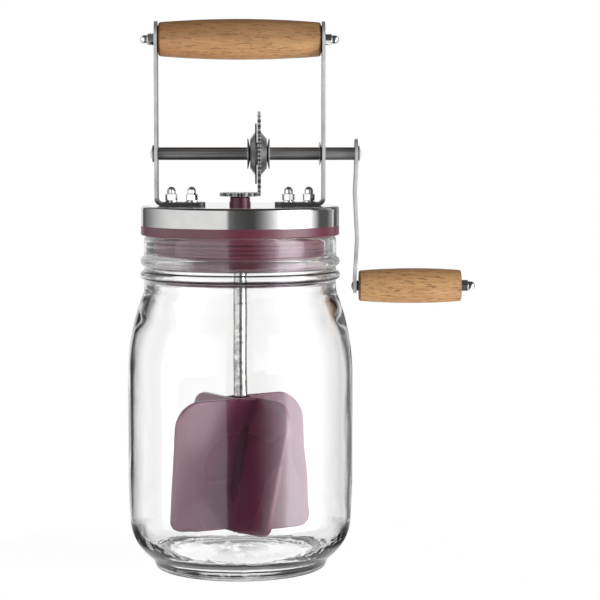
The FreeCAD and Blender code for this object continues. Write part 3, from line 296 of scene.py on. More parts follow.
def drawn_steel():
    """Zinc plated bar with lines along X. Its riveted ends are hammered bright."""
    steel = Finish("drawn_steel")
    steel.set(Metallic=1.0)
    lines = steel.cloud(steel.stretched((9, 900, 900)), detail=3, roughness=0.6)
    tone = steel.ramp(lines, (0.36, mix_colour(ZINC_GREY, BLACK_OXIDE, 0.75)),
                      (0.50, ZINC_GREY), (0.64, mix_colour(ZINC_GREY, SATIN_STEEL, 0.6)))
    along = steel.axes()["X"]
    left = steel.sums("LESS_THAN", along, AXLE_ENDS[0] * MM)
    right = steel.sums("GREATER_THAN", along, AXLE_ENDS[1] * MM)
    steel.colour(steel.blend(steel.sums("ADD", left, right), tone, HAMMERED_STEEL))
    steel.roughness(lines, 0.62, 0.42)
    steel.bump(lines, 0.02 * MM, strength=0.6)
    return steel.material


def strip_steel(name, foot):
    """Dull strip steel from the rolls, its sideways faces painted darker than its cut edges, a
    painted shade. A bracket's foot is painted dark as well, painted shade where it stands on the
    lid.
    """
    steel = Finish(name)
    steel.set(Metallic=0.85)
    lines = steel.cloud(steel.stretched((3000, 3000, 90)), detail=2)
    patches = steel.cloud(steel.place, detail=2, scale=90)
    tone = steel.ramp(patches, (0.3, SATIN_STEEL), (0.7, STRIP_STEEL))
    # Faces that look along X are painted half as dark: painted shade.
    sideways = steel.sums("ABSOLUTE", steel.axes(steel.facing)["X"])
    painted_side_shade = steel.ramp(sideways, (0.70, 1.0), (0.85, 0.50))
    tone = steel.blend(1.0, tone, painted_side_shade, "MULTIPLY")
    if foot:
        # Below the foot's top the colour is painted dark: painted shade.
        low = steel.fade(steel.axes()["Z"], 179.6 * MM, 182.2 * MM)
        tone = steel.blend(low, tone, STRIP_SHADED)
    steel.colour(tone)
    steel.roughness(lines, 0.42, 0.54)
    steel.bump(lines, 0.006 * MM, strength=0.6)
    return steel.material


def gear_steel(name, centre, axis, root, half):
    """Zinc plated gear, dark at the root, its marked corners painted bright as painted glints.

    centre is the middle of the wheel, half its half thickness and root its radius between
    the teeth.
    """
    steel = Finish(name)
    middle = steel.add("ShaderNodeVectorMath", operation="SUBTRACT")
    steel.join(steel.place, middle.inputs[0])
    middle.inputs[1].default_value = centre
    flat = steel.stretched((0, 1, 1) if axis == "X" else (1, 1, 0), start=middle.outputs[0])
    depth = steel.sums("ABSOLUTE", steel.axes(middle.outputs[0])[axis])
    rims = steel.ramp(steel.sums("DIVIDE", depth, half * MM), (0.45, 0.35), (0.80, 1.0))
    patches = steel.cloud(steel.place, detail=3, scale=520)
    grey = steel.ramp(patches, (0.35, TOOTH_DARK), (0.65, TOOTH_PALE))
    soot = steel.sums("GREATER_THAN", steel.length(flat), (root - 0.9) * MM)
    grey = steel.blend(steel.times(soot, 0.55), grey, TOOTH_GRIME)
    # The marked corners are painted bright, most near the wheel's faces: painted glints.
    bright = steel.times(steel.marked("painted_edge"), rims)
    steel.colour(steel.blend(bright, grey, TOOTH_PAINTED_GLINT))
    steel.roughness(bright, 0.35, 0.75)
    steel.join(steel.sums("SUBTRACT", 0.9, bright), steel.skin.inputs["Metallic"])
    steel.bump(patches, 0.02 * MM, strength=0.5)
    return steel.material


def plum(name, colour, rough, gloss=0.5, shaded_below=None):
    """Plum coloured silicone or plastic with a faint moulded skin, a painted highlight on marked
    edges, and painted shade below a height.
    """
    soft = Finish(name)
    soft.set(IOR=1.60, Specular_IOR_Level=gloss)
    patches = soft.cloud(soft.place, detail=0.5, scale=26)
    deep = tuple(part * 0.88 for part in colour[:3]) + (1,)
    pale = tuple(part * 1.10 for part in colour[:3]) + (1,)
    skin = soft.ramp(patches, (0.15, deep), (0.85, pale))
    # Marked edges are painted paler: a painted highlight.
    skin = soft.blend(soft.marked("painted_edge"), skin, PLUM_PAINTED_HIGHLIGHT)
    # Below the given height the colour is painted dark: painted shade.
    if shaded_below:
        painted_lighting = soft.profile(soft.axes()["Z"], 0, 1000, (shaded_below, 0.10), (shaded_below + 0.8, 1.0))
        skin = soft.blend(1.0, skin, painted_lighting, "MULTIPLY")
    soft.colour(skin)
    soft.roughness(patches, rough * 0.85, rough * 1.15)
    return soft.material


def painted_dark_lines(glass, height, away):
    """Nought on the dark lines painted in the glass, painted shade, one elsewhere."""
    # Two painted dark lines lie in the lower bead and one under the rim.
    outside = glass.sums("GREATER_THAN", away, 46.2 * MM)
    neck_lines = glass.profile(height, *COLLAR, (141.8, 0.0), (142.2, 1.0), (142.9, 1.0),
                          (143.2, 0.0), (145.4, 0.0), (145.65, 1.0), (146.15, 1.0),
                          (146.4, 0.0), (162.4, 0.0), (162.9, 0.8))
    # The painted dark line round the foot is broken.
    foot = glass.profile(height, 0, 50, (2.0, 0.0), (2.6, 1.0), (3.4, 1.0), (4.0, 0.0))
    broken = glass.ramp(glass.cloud(glass.stretched((160, 160, 60)), detail=2), (0.42, 0.0),
                        (0.52, 1.0))
    unshaded = glass.rest(glass.times(outside, neck_lines))
    return glass.sums("SUBTRACT", unshaded, glass.times(foot, broken))


def neck_haze(glass, across, height, facing):
    """How milky the thick, seedy neck looks: most where it is seen edge on, and more to the left
    and on the upper bead, as painted highlights.
    """
    neck = glass.profile(height, 0, 1000, (134.5, 0.0), (140, 1.0))
    streaks = glass.ramp(glass.cloud(glass.stretched((18, 18, 700)), detail=2), (0.40, 0.25),
                         (0.60, 1.0))
    milky = glass.ramp(facing, (0.15, 0.0), (0.45, 0.14), (0.75, 0.55), (1.0, 0.60))
    # The upper bead is painted milkier on both sides of the neck, a painted highlight.
    bead = glass.profile(height, *COLLAR, (149, 0.0), (150.5, 1.0), (152, 1.0), (153.5, 0.0))
    painted_bead_highlight = glass.profile(glass.sums("ABSOLUTE", across), 0, 100, (20, 0.0), (30, 1.0),
                              (38, 1.0), (44, 0.0))
    milky = glass.sums("ADD", milky, glass.times(bead, painted_bead_highlight, 0.55))
    # More haze to the left is painted light.
    painted_lighting = glass.profile(across, -50, 950, (-20, 1.0), (40, 0.45))
    return glass.times(neck, streaks, milky, painted_lighting)


def jar_glass():
    """Clear pressed glass, painted darker where it is seen edge on, a painted shade. Lamps shine
    through it.
    """
    glass = Finish("jar_glass")
    glass.set(Transmission_Weight=1.0, IOR=1.5, Roughness=0.0, Specular_IOR_Level=1.0,
              Specular_Tint=GLASS_SHEEN)
    edge = glass.add("ShaderNodeLayerWeight")
    edge.inputs["Blend"].default_value = 0.5
    facing = edge.outputs["Facing"]
    # The colour is painted darker towards the edge-on parts: painted shade for the dark contours.
    tone = glass.ramp(facing, (0.0, 1.0), (0.75, 0.99), (0.93, 0.80), (1.0, 0.25))
    across, along, height = glass.axes()
    away = glass.length(glass.stretched((1, 1, 0)))
    unshaded = painted_dark_lines(glass, height, away)
    glass.colour(glass.blend(1.0, tone, unshaded, "MULTIPLY"))
    # The glass is nearly even, apart from the heel, where it met the cold mould.
    ripples = glass.cloud(glass.place, detail=1, scale=22)
    heel = glass.times(glass.profile(height, 0, 50, (2, 1.0), (18, 1.0), (26, 0.0)),
                       glass.profile(away, 0, 100, (26, 0.15), (36, 1.0)))
    lumps = glass.times(heel, glass.cloud(glass.stretched((130, 130, 220)), detail=2), 14.0)
    glass.bump(glass.sums("ADD", ripples, lumps), 0.015 * MM)
    haze = glass.add("ShaderNodeBsdfDiffuse")
    haze.inputs["Color"].default_value = GLASS_HAZE
    share = glass.times(neck_haze(glass, across, height, facing), unshaded)
    body = glass.layered(share, glass.skin.outputs["BSDF"], haze.outputs["BSDF"])
    clear = glass.add("ShaderNodeBsdfTransparent")
    clear.inputs["Color"].default_value = GLASS_SHADOW
    shadow = glass.add("ShaderNodeLightPath").outputs["Is Shadow Ray"]
    glass.join(glass.layered(shadow, body, clear.outputs["BSDF"]), glass.output.inputs["Surface"])
    return glass.material


# ---- trees

class Tree:
    """A Geometry Nodes tree under construction. Its inputs are named for what they size."""

    def __init__(self, name, **inputs):
        self.group = bpy.data.node_groups.new(name, "GeometryNodeTree")
        sockets = self.group.interface
        sockets.new_socket("Geometry", in_out="INPUT", socket_type="NodeSocketGeometry")
        for label, kind in inputs.items():
            sockets.new_socket(label.replace("_", " "), in_out="INPUT",
                               socket_type="NodeSocket" + kind)
        sockets.new_socket("Material", in_out="INPUT", socket_type="NodeSocketMaterial")
        sockets.new_socket("Geometry", in_out="OUTPUT", socket_type="NodeSocketGeometry")
        self.given = self.group.nodes.new("NodeGroupInput").outputs

    def add(self, kind, wires=None, **settings):
        """A node. wires gives each named input a source socket or a plain value."""
        node = self.group.nodes.new(kind)
        for name, value in settings.items():
            setattr(node, name, value)
        for name, source in (wires or {}).items():
            if isinstance(source, bpy.types.NodeSocket):
                self.group.links.new(source, node.inputs[name])
            else:
                node.inputs[name].default_value = source
        return node.outputs

    def sums(self, operation, first, second=0.0):
        return self.add("ShaderNodeMath", {0: first, 1: second}, operation=operation)["Value"]

    def named(self, label, kind="FLOAT"):
        """What a mesh carries under a name, point by point."""
        return self.add("GeometryNodeInputNamedAttribute", {"Name": label},
                        data_type=kind)["Attribute"]

    def set_down(self, geometry):
        """Turn the geometry and move it to its centre."""
        return self.add("GeometryNodeTransform",
                        {"Geometry": geometry, "Rotation": self.given["Turn"],
                         "Translation": self.given["Centre"]})["Geometry"]

    def end(self, geometry):
        """Realize the instances, weld them, and give the result its material."""
        real = self.add("GeometryNodeRealizeInstances", {"Geometry": geometry})["Geometry"]
        whole = self.add("GeometryNodeMergeByDistance", {"Geometry": real, "Distance": WELD})
        finish = self.add("GeometryNodeSetMaterial", {"Geometry": whole["Geometry"],
                                                      "Material": self.given["Material"]})
        self.add("NodeGroupOutput", {"Geometry": finish["Geometry"]})


def grow(tree, name, start, crease=35, **values):
    """Run a tree over the mesh start, and keep what it makes as a plain mesh piece."""
    seed = placed(name + "_start", start)
    modifier = seed.modifiers.new("grow", "NODES")
    modifier.node_group = tree.group
    for socket in tree.group.interface.items_tree:
        label = socket.name.replace(" ", "_")
        if socket.in_out == "INPUT" and label in values:
            modifier[socket.identifier] = values[label]
    bpy.context.view_layer.update()
    grown = seed.evaluated_get(bpy.context.evaluated_depsgraph_get())
    data = bpy.data.meshes.new_from_object(grown)
    seed.modifiers.remove(modifier)
    bpy.data.objects.remove(seed)
    mesh = bmesh.new()
    mesh.from_mesh(data)
    bmesh.ops.recalc_face_normals(mesh, faces=mesh.faces)
    for face in mesh.faces:
        face.smooth, face.material_index = True, 0
    mesh.to_mesh(data)
    mesh.free()
    data.materials.clear()
    data.materials.append(values["Material"])
    data.set_sharp_from_angle(angle=math.radians(crease))
    data.name = name
    return placed(name, data)


def turned_tree():
    """A section swept round Z, uneven where its points say so, then turned and set down."""
    tree = Tree("turned", Steps="Int", Unevenness="Float", Lumps="Float", Turn="Vector",
                Centre="Vector")
    section = tree.add("GeometryNodeMeshToCurve", {"Mesh": tree.given["Geometry"]})["Curve"]
    rail = tree.add("GeometryNodeCurvePrimitiveCircle",
                    {"Resolution": tree.given["Steps"], "Radius": RAIL})["Curve"]
    skin = tree.add("GeometryNodeCurveToMesh", {"Curve": rail, "Profile Curve": section})["Mesh"]
    place = tree.add("GeometryNodeInputPosition")["Position"]
    lumps = tree.add("ShaderNodeTexNoise", {"Vector": place, "Scale": tree.given["Lumps"],
                                            "Detail": 1.0})
    swing = tree.sums("MULTIPLY", tree.sums("SUBTRACT", lumps[0], 0.5), tree.given["Unevenness"])
    flat = tree.add("ShaderNodeVectorMath", {0: place, 1: (1, 1, 0)}, operation="MULTIPLY")
    outward = tree.add("ShaderNodeVectorMath", {0: flat["Vector"]}, operation="NORMALIZE")
    shift = tree.add("ShaderNodeVectorMath",
                     {0: outward["Vector"],
                      "Scale": tree.sums("MULTIPLY", swing, tree.named("uneven"))},
                     operation="SCALE")["Vector"]
    skin = tree.add("GeometryNodeSetPosition", {"Geometry": skin, "Offset": shift})["Geometry"]
    tree.end(tree.set_down(skin))
    return tree


def ring_tree():
    """The same shape Count times evenly round Z, then turned and set down."""
    tree = Tree("ring", Count="Int", First="Float", Turn="Vector", Centre="Vector")
    number = tree.add("GeometryNodeInputIndex")["Index"]
    step = tree.sums("DIVIDE", 2 * math.pi, tree.given["Count"])
    angle = tree.sums("ADD", tree.sums("MULTIPLY", number, step), tree.given["First"])
    spot = tree.add("GeometryNodePoints", {"Count": tree.given["Count"]})["Points"]
    round_z = tree.add("ShaderNodeCombineXYZ", {"Z": angle})["Vector"]
    ring = tree.add("GeometryNodeInstanceOnPoints",
                    {"Points": spot, "Instance": tree.given["Geometry"],
                     "Rotation": round_z})["Instances"]
    tree.end(tree.set_down(ring))
    return tree


def fastener_tree():
    """One fastener on every point, along the point's way and spun about itself."""
    tree = Tree("fasteners", Fastener="Object")
    pattern = tree.add("GeometryNodeObjectInfo", {"Object": tree.given["Fastener"]})["Geometry"]
    about = tree.add("ShaderNodeCombineXYZ", {"Z": tree.named("spin")})["Vector"]
    upright = tree.add("FunctionNodeEulerToRotation", {"Euler": about})["Rotation"]
    aim = tree.add("FunctionNodeAlignRotationToVector",
                   {"Vector": tree.named("way", "FLOAT_VECTOR")}, axis="Z")["Rotation"]
    aim = tree.add("FunctionNodeRotateRotation", {"Rotation": aim, "Rotate By": upright},
                   rotation_space="LOCAL")["Rotation"]
    spots = tree.add("GeometryNodeMeshToPoints", {"Mesh": tree.given["Geometry"]})["Points"]
    row = tree.add("GeometryNodeInstanceOnPoints", {"Points": spots, "Instance": pattern,
                                                    "Rotation": aim})["Instances"]
    tree.end(row)
    return tree


WELD = 0.002 * MM
RAIL = 0.1
TURNED = turned_tree()
RING = ring_tree()
FASTENERS = fastener_tree()


# ---- sections

def crown(half_chord, rise):
    """Radius of an arc over a chord of twice half_chord that rises by rise."""
    return (half_chord * half_chord + rise * rise) / (2 * rise)


class Section:
    """A piece's section, drawn from corner to corner as (radius, height) points."""

    def __init__(self, radius, height):
        self.points = [(radius, height)]
        self.marks = {"uneven": {}, "painted_edge": {}}

    def line(self, radius, height, steps=1):
        x, z = self.points[-1]
        for step in range(1, steps + 1):
            share = step / steps
            self.points.append((x + (radius - x) * share, z + (height - z) * share))
        return self

    def bend(self, radius, height, curve, turn=1, steps=8):
        """An arc with radius curve that turns left (1) or right (-1)."""
        start, end = Vector(self.points[-1]), Vector((radius, height))
        chord = end - start
        half = chord.length / 2
        depth = math.sqrt(max(curve * curve - half * half, 0))
        middle = (start + end) / 2 + Vector((-chord.y, chord.x)).normalized() * turn * depth
        first = math.atan2(start.y - middle.y, start.x - middle.x)
        sweep = 2 * math.asin(min(1, half / curve)) * turn
        for step in range(1, steps + 1):
            angle = first + sweep * step / steps
            self.points.append((middle.x + curve * math.cos(angle),
                                middle.y + curve * math.sin(angle)))
        return self

    def mark(self, name, amount, start, end=None):
        """Give the points from number start up to end a share of something."""
        for number in range(start, len(self.points) if end is None else end):
            self.marks[name][number] = amount
        return self

    def mesh(self):
        data = bpy.data.meshes.new("section")
        places = [(max(radius, 0) * MM - RAIL, -height * MM, 0) for radius, height in self.points]
        data.from_pydata(places, [(n, n + 1) for n in range(len(places) - 1)], [])
        for name, amounts in self.marks.items():
            layer = data.attributes.new(name, "FLOAT", "POINT")
            for number, amount in amounts.items():
                layer.data[number].value = amount
        return data


def turned(name, section, material, steps=96, unevenness=0.0, lumps=40.0, turn=(0, 0, 0),
           centre=(0, 0, 0), crease=35):
    return grow(TURNED, name, section.mesh(), crease, Steps=steps, Lumps=lumps,
                Unevenness=unevenness * MM, Turn=turn,
                Centre=tuple(part * MM for part in centre), Material=material)


def joined(name, *pieces):
    """Make one piece of several, each in its own finish."""
    mesh = bmesh.new()
    finishes = []
    for piece in pieces:
        start = len(mesh.faces)
        mesh.from_mesh(piece.data)
        mesh.faces.ensure_lookup_table()
        finish = piece.data.materials[0]
        if finish not in finishes:
            finishes.append(finish)
        for face in mesh.faces[start:]:
            face.material_index = finishes.index(finish)
    whole = pieces[0]
    mesh.to_mesh(whole.data)
    mesh.free()
    for finish in finishes[1:]:
        whole.data.materials.append(finish)
    for piece in pieces[1:]:
        bpy.data.objects.remove(piece)
    whole.name = name
    return whole


def settle(piece, body, slot, *nodes):
    """Let the piece stand for CAD nodes and ride on a body. slot is not used."""
    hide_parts(*nodes)
    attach(piece, body)


# ---- the jar

JAR = dict(radius=55.1, wall=2.4, foot=39.8, foot_width=2.6, foot_round=2.5, heel_x=44.6,
           heel_low=5.6, heel_curve=24, heel_high=23.75, belly=0.8, belly_high=48, pushup=2.6,
           base=4.6, inner_heel=20, shoulder_low=95, shoulder_high=135, neck=47, neck_wall=5,
           cove=2.5, rim=163.3, rim_out=2.2, rim_in=1.8)
NECK_BEADS = ((144.0, 2.25, 1.9), (150.7, 2.5, 1.7))  # middle height, half height, how proud


def jar_section():
    """From the middle of the underside, up the outside, round the rim and down the inside."""
    j = JAR
    inside = j["radius"] - j["wall"]
    mouth = j["neck"] - j["neck_wall"]
    foot_in = j["foot"] - j["foot_width"]
    shoulder_x = j["neck"] + j["belly"] / 2
    floor = j["pushup"] + j["base"]
    floor_low = floor - j["pushup"] / 2
    floor_edge = inside - j["inner_heel"]
    inner_top = j["shoulder_high"] - j["cove"]
    belly = j["belly_high"] - j["heel_high"]
    jar = Section(0, j["pushup"])
    jar.bend(foot_in, 0, crown(foot_in, j["pushup"]), -1, 10)
    jar.line(j["foot"], 0, 2)
    jar.bend(j["foot"] + j["foot_round"], j["foot_round"], j["foot_round"], 1, 8)
    jar.line(j["heel_x"], j["heel_low"], 3)
    jar.bend(j["radius"] - j["belly"], j["heel_high"], j["heel_curve"], 1, 18)
    jar.bend(j["radius"], j["belly_high"], crown(belly, j["belly"]), 1, 8)
    jar.line(j["radius"], j["shoulder_low"], 14)
    jar.bend(shoulder_x, j["shoulder_high"],
             crown(j["shoulder_high"] - j["shoulder_low"], j["radius"] - shoulder_x), 1, 22)
    jar.line(j["neck"], j["shoulder_high"] + j["cove"], 3)
    for middle, half, proud in NECK_BEADS:
        jar.line(j["neck"], middle - half, 2)
        jar.bend(j["neck"], middle + half, crown(half, proud), 1, 14)
    jar.line(j["neck"], j["rim"] - j["rim_out"], 4)
    jar.bend(j["neck"] - j["rim_out"], j["rim"], j["rim_out"], 1, 8)
    rim = len(jar.points)
    jar.line(mouth + j["rim_in"], j["rim"], 2)
    jar.bend(mouth, j["rim"] - j["rim_in"], j["rim_in"], 1, 6)
    jar.line(mouth, j["shoulder_high"] + j["cove"], 8)
    jar.line(mouth + j["rim_in"], inner_top, 4)
    shoulder = len(jar.points)
    jar.bend(inside, j["shoulder_low"],
             crown(inner_top - j["shoulder_low"], inside - mouth - j["rim_in"]), -1, 22)
    jar.line(inside, floor_low + j["inner_heel"], 18)
    jar.bend(floor_edge, floor_low, j["inner_heel"], -1, 16)
    jar.bend(0, floor, crown(floor_edge, floor - floor_low), 1, 12)
    # The glass is left thick where the blown shoulder meets the pressed neck.
    ring_height, ring_spread, ring_rise = 126, 6, 1.0
    for number in range(shoulder, len(jar.points)):
        radius, height = jar.points[number]
        thick = ring_rise * math.exp(-((height - ring_height) / ring_spread) ** 2)
        jar.points[number] = (radius - thick, height)
    # Pressed glass is smooth outside and slightly uneven inside.
    jar.mark("uneven", 0.10, 1, rim)
    jar.mark("uneven", 0.35, rim, shoulder)
    jar.mark("uneven", 1.0, shoulder, len(jar.points) - 6)
    return jar


def glass_jar():
    jar = turned("jar_of_clear_glass", jar_section(), jar_glass(), steps=240, unevenness=0.35,
                 lumps=42, crease=75)
    settle(jar, "jar", "jar_glass", "glass_jar")


# ---- turned beech

def beech_handle(name, material, centre, length, left, right, rise, rounding):
    """A barrel shaped handle about X whose left end is at centre."""
    face_steps, corner_steps = 6, 8
    end_steps = face_steps + corner_steps
    half_chord = math.hypot(length / 2 - rounding, (right - left) / 2)
    handle = Section(HANDLE_BORE, 0).line(left - rounding, 0, face_steps)
    handle.bend(left, rounding, rounding, 1, corner_steps)
    handle.bend(right, length - rounding, crown(half_chord, rise), 1, 40)
    handle.bend(right - rounding, length, rounding, 1, corner_steps)
    handle.line(HANDLE_BORE, length, face_steps).line(HANDLE_BORE, 0)
    count = len(handle.points)
    # The end faces and rounded corners are marked for painted shade.
    handle.mark("painted_edge", 1.0, 0, end_steps - 1).mark("painted_edge", 1.0, count - end_steps)
    handle.mark("uneven", 1.0, end_steps, count - end_steps - 2)
    return turned(name, handle, material, steps=128, unevenness=0.10, lumps=90, turn=TO_X,
                  centre=centre)


def handles():
    wood = beech()
    length = 78.84
    grip = beech_handle("beech_grip", wood, (-length / 2, 0, GRIP_HEIGHT), length, left=8.3,
                        right=8.3, rise=1.55, rounding=1.3)
    settle(grip, "lid", "beech", "top_grip")
    knob = beech_handle("beech_knob", wood, (58.15, 0, KNOB_HEIGHT), 50, left=7.5, right=7.7,
                        rise=0.95, rounding=0.9)
    settle(knob, "knob", "beech", "knob")


# ---- gears

def tooth_sector(teeth, bore, root, tip, root_width, tip_width, thickness):
    """One tooth about the X axis of its own plane, with its share of the wheel."""
    edge_round, glint_reach = 0.18, 0.3
    half = math.pi / teeth
    foot, head = root_width / 2 / root, tip_width / 2 / tip
    corners = [(root, -half), (root, -foot), (tip, -head), (tip, 0), (tip, head),
               (root, foot), (root, half)]
    web = (bore + root) / 2
    mesh = bmesh.new()
    rings = []
    for height in (0, thickness):
        for pick in (lambda corner: corner[0], lambda corner: web, lambda corner: bore):
            rings.append([mesh.verts.new((pick(c) * math.cos(c[1]) * MM,
                                          pick(c) * math.sin(c[1]) * MM, height * MM))
                          for c in corners])
    low_out, low_mid, low_in, high_out, high_mid, high_in = rings
    strips = ((low_out, low_mid), (low_mid, low_in), (low_in, high_in), (high_in, high_mid),
              (high_mid, high_out), (high_out, low_out))
    for first, second in strips:
        for n in range(len(corners) - 1):
            mesh.faces.new((first[n], first[n + 1], second[n + 1], second[n]))
    rims = [edge for edge in mesh.edges
            if all(v in low_out or v in high_out for v in edge.verts)
            and not edge.is_boundary]
    bmesh.ops.bevel(mesh, geom=rims, offset=edge_round * MM, segments=2, affect="EDGES",
                    clamp_overlap=True)
    # The corners of the tips and the middles of the gaps are marked for painted glints.
    painted_edge = mesh.verts.layers.float.new("painted_edge")
    for vert in mesh.verts:
        away = vert.co.xy.length
        if away > (root + tip) / 2 * MM:
            vert[painted_edge] = 1.0 if abs(vert.co.y) > tip_width / 4 * MM else 0.0
        elif away > (root - glint_reach) * MM and abs(vert.co.y) > root * MM * math.sin(half) * 0.95:
            vert[painted_edge] = 0.8
    return kept(mesh, "tooth")


def gears():
    teeth, bore, root, tip, thick, left = 30, 3.14, 18.7, 20.6, 1.6, 8.57
    steel = gear_steel("gear_steel", ((left + thick / 2) * MM, 0, AXLE_HEIGHT * MM), "X", root,
                       thick / 2)
    tooth = tooth_sector(teeth, bore, root, tip, root_width=2.0, tip_width=0.9, thickness=thick)
    wheel = grow(RING, "crown_wheel", tooth, Count=teeth, First=math.radians(96), Turn=TO_X,
                 Centre=(left * MM, 0, AXLE_HEIGHT * MM), Material=steel)
    boss = Section(bore, 0).line(5.5, 0).line(5.5, 0.4).line(bore, 0.4).line(bore, 0)
    boss = turned("boss", boss, steel, turn=TO_X, centre=(left - 0.4, 0, AXLE_HEIGHT))
    settle(joined("crown_wheel", wheel, boss), "crank", "machined_steel", "drive_gear")
    teeth, bore, root, tip, thick, low = 14, 2.44, 7.87, 9.97, 1.8, 182.1
    steel = gear_steel("pinion_steel", (0, 0, (low + thick / 2) * MM), "Z", root, thick / 2)
    tooth = tooth_sector(teeth, bore, root, tip, root_width=1.9, tip_width=0.9, thickness=thick)
    small = grow(RING, "stem_wheel", tooth, Count=teeth, Centre=(0, 0, low * MM),
                 Material=steel)
    settle(small, "stirrer", "machined_steel", "pinion")


# ---- nuts and washers

def acorn_nut():
    """A domed nut standing on nought, with chamfered ends and soft corners."""
    flats, top, dome, height, soft = 2.7, 3.3, 2.2, 6.8, 0.45
    corner = (flats - soft) / math.cos(math.pi / 6)
    outline = []
    for number in range(6):
        middle = number * math.pi / 3
        for lean in (-30, -15, 0, 15, 30):
            angle = middle + math.radians(lean)
            outline.append(Vector((corner * math.cos(middle) + soft * math.cos(angle),
                                   corner * math.sin(middle) + soft * math.sin(angle))))

    def ring(radius, z):
        return [(spot.normalized() * radius, z) for spot in outline]

    def chamfered(z, slope):
        return [(spot, z + slope * (spot.length - flats) * 0.7) for spot in outline]

    shoulder, steps = height - dome, 9
    levels = [ring(flats - 0.3, 0), chamfered(0, 1), chamfered(top, -1), ring(flats - 0.2, top),
              ring(dome + 0.15, top), ring(dome, top + 0.15), ring(dome, shoulder)]
    for step in range(1, steps):
        lean = math.pi / 2 * step / steps
        levels.append(ring(dome * math.cos(lean), shoulder + dome * math.sin(lean)))
    mesh = bmesh.new()
    rings = [[mesh.verts.new((spot.x * MM, spot.y * MM, z * MM)) for spot, z in level]
             for level in levels]
    around = len(outline)
    for low, high in zip(rings, rings[1:]):
        for step in range(around):
            after = (step + 1) % around
            mesh.faces.new((low[step], low[after], high[after], high[step]))
    mesh.faces.new(rings[0])
    tip = mesh.verts.new((0, 0, height * MM))
    for step in range(around):
        mesh.faces.new((rings[-1][step], rings[-1][(step + 1) % around], tip))
    return placed("acorn_nut", kept(mesh, "acorn_nut"))


def row_of(name, fastener, places, material):
    """Fasteners at places, each a point, the way it stands, and its spin in degrees."""
    data = bpy.data.meshes.new("places")
    data.from_pydata([tuple(part * MM for part in point) for point, way, spin in places], [], [])
    data.attributes.new("way", "FLOAT_VECTOR", "POINT")
    data.attributes.new("spin", "FLOAT", "POINT")
    for number, (point, way, spin) in enumerate(places):
        data.attributes["way"].data[number].vector = way
        data.attributes["spin"].data[number].value = math.radians(spin)
    return grow(FASTENERS, name, data, Fastener=fastener, Material=material)


def fasteners():
    nut_steel = brushed("nut_steel", NUT_STEEL, NO_GRAIN, 0.07, depth=0.001)
    nut = acorn_nut()
    places = [((x, 0, 180.05), UP, spin) for x, spin in zip(FEET, (-14, -17, -10, -16))]
    places += [((-41.44, 0, GRIP_HEIGHT), LEFT, 12), ((41.44, 0, GRIP_HEIGHT), RIGHT, 40)]
    settle(row_of("acorn_nuts", nut, places, nut_steel), "lid", "nut_steel", "bracket_nuts",
           "grip_nut_left", "grip_nut_right")
    places = [((108.4, 0, KNOB_HEIGHT), RIGHT, 25)]
    settle(row_of("knob_acorn_nut", nut, places, nut_steel), "crank", "nut_steel", "knob_nut")
    bpy.data.objects.remove(nut)

    bore, thick = 1.6, 0.45
    plain = Section(bore, 0).line(3.25, 0).line(3.3, 0.05).line(3.3, 0.4).line(3.2, thick)
    plain = turned("plain", plain.line(bore, thick).line(bore, 0), nut_steel, steps=48)
    teeth = 14
    tooth = tooth_sector(teeth, bore, 2.35, 2.95, root_width=0.75, tip_width=0.45,
                         thickness=thick)
    toothed = grow(RING, "toothed", tooth, Count=teeth, Centre=(0, 0, thick * MM),
                   Material=nut_steel)
    pair = joined("washers", plain, toothed)
    under = row_of("foot_washers", pair, [((x, 0, 179.15), UP, 0) for x in FEET], nut_steel)
    bpy.data.objects.remove(pair)
    settle(under, "lid", "nut_steel", "bracket_washers")
    dress(["bracket_screws", "grip_rod", "crank_washer", "paddle_screw"], nut_steel)


# ---- the paddle

def blade():
    """One flat blade tilted about its own radius, which is the X axis, soft at its edges."""
    low, height, thick, pitch = PADDLE_LOW, 66.0, 2.5, math.radians(10.8)
    reach, low_reach = 38.1, 36.2
    inner = height / 2 * math.tan(pitch) + thick / 2
    half = height / 2
    low_round, top_round, edge_round = 7.0, 13.0, 0.55
    side = Section(-inner, -half)
    side.line(low_reach - low_round, -half, 8)
    side.bend(low_reach, -half + low_round, low_round, 1, 10)
    side.line(reach, half - top_round, 10).bend(reach - top_round, half, top_round, 1, 14)
    side.line(-inner, half, 6).line(0, 0, 6).line(-inner, -half, 6)
    corners = side.points[:-1]
    mesh = bmesh.new()
    faces = []
    for depth in (-thick / 2, thick / 2):
        faces.append(mesh.faces.new([mesh.verts.new((x * MM, depth * MM, z * MM))
                                     for x, z in corners]))
    near, far = faces
    count = len(corners)
    for n in range(count):
        after = (n + 1) % count
        mesh.faces.new((near.verts[n], near.verts[after], far.verts[after], far.verts[n]))
    bmesh.ops.recalc_face_normals(mesh, faces=mesh.faces)
    rims = list(near.edges) + list(far.edges)
    bmesh.ops.bevel(mesh, geom=rims, offset=edge_round * MM, segments=3, profile=0.5,
                    affect="EDGES", clamp_overlap=True)
    # The outer end is marked for a painted highlight.
    painted_edge = mesh.verts.layers.float.new("painted_edge")
    for vert in mesh.verts:
        vert[painted_edge] = 0.8 if vert.co.x > (low_reach - 0.2) * MM else 0.0
    bmesh.ops.rotate(mesh, verts=mesh.verts, cent=(0, 0, 0),
                     matrix=Matrix.Rotation(-pitch, 3, "X"))
    bmesh.ops.translate(mesh, verts=mesh.verts, vec=(0, 0, (low + half) * MM))
    return kept(mesh, "blade")


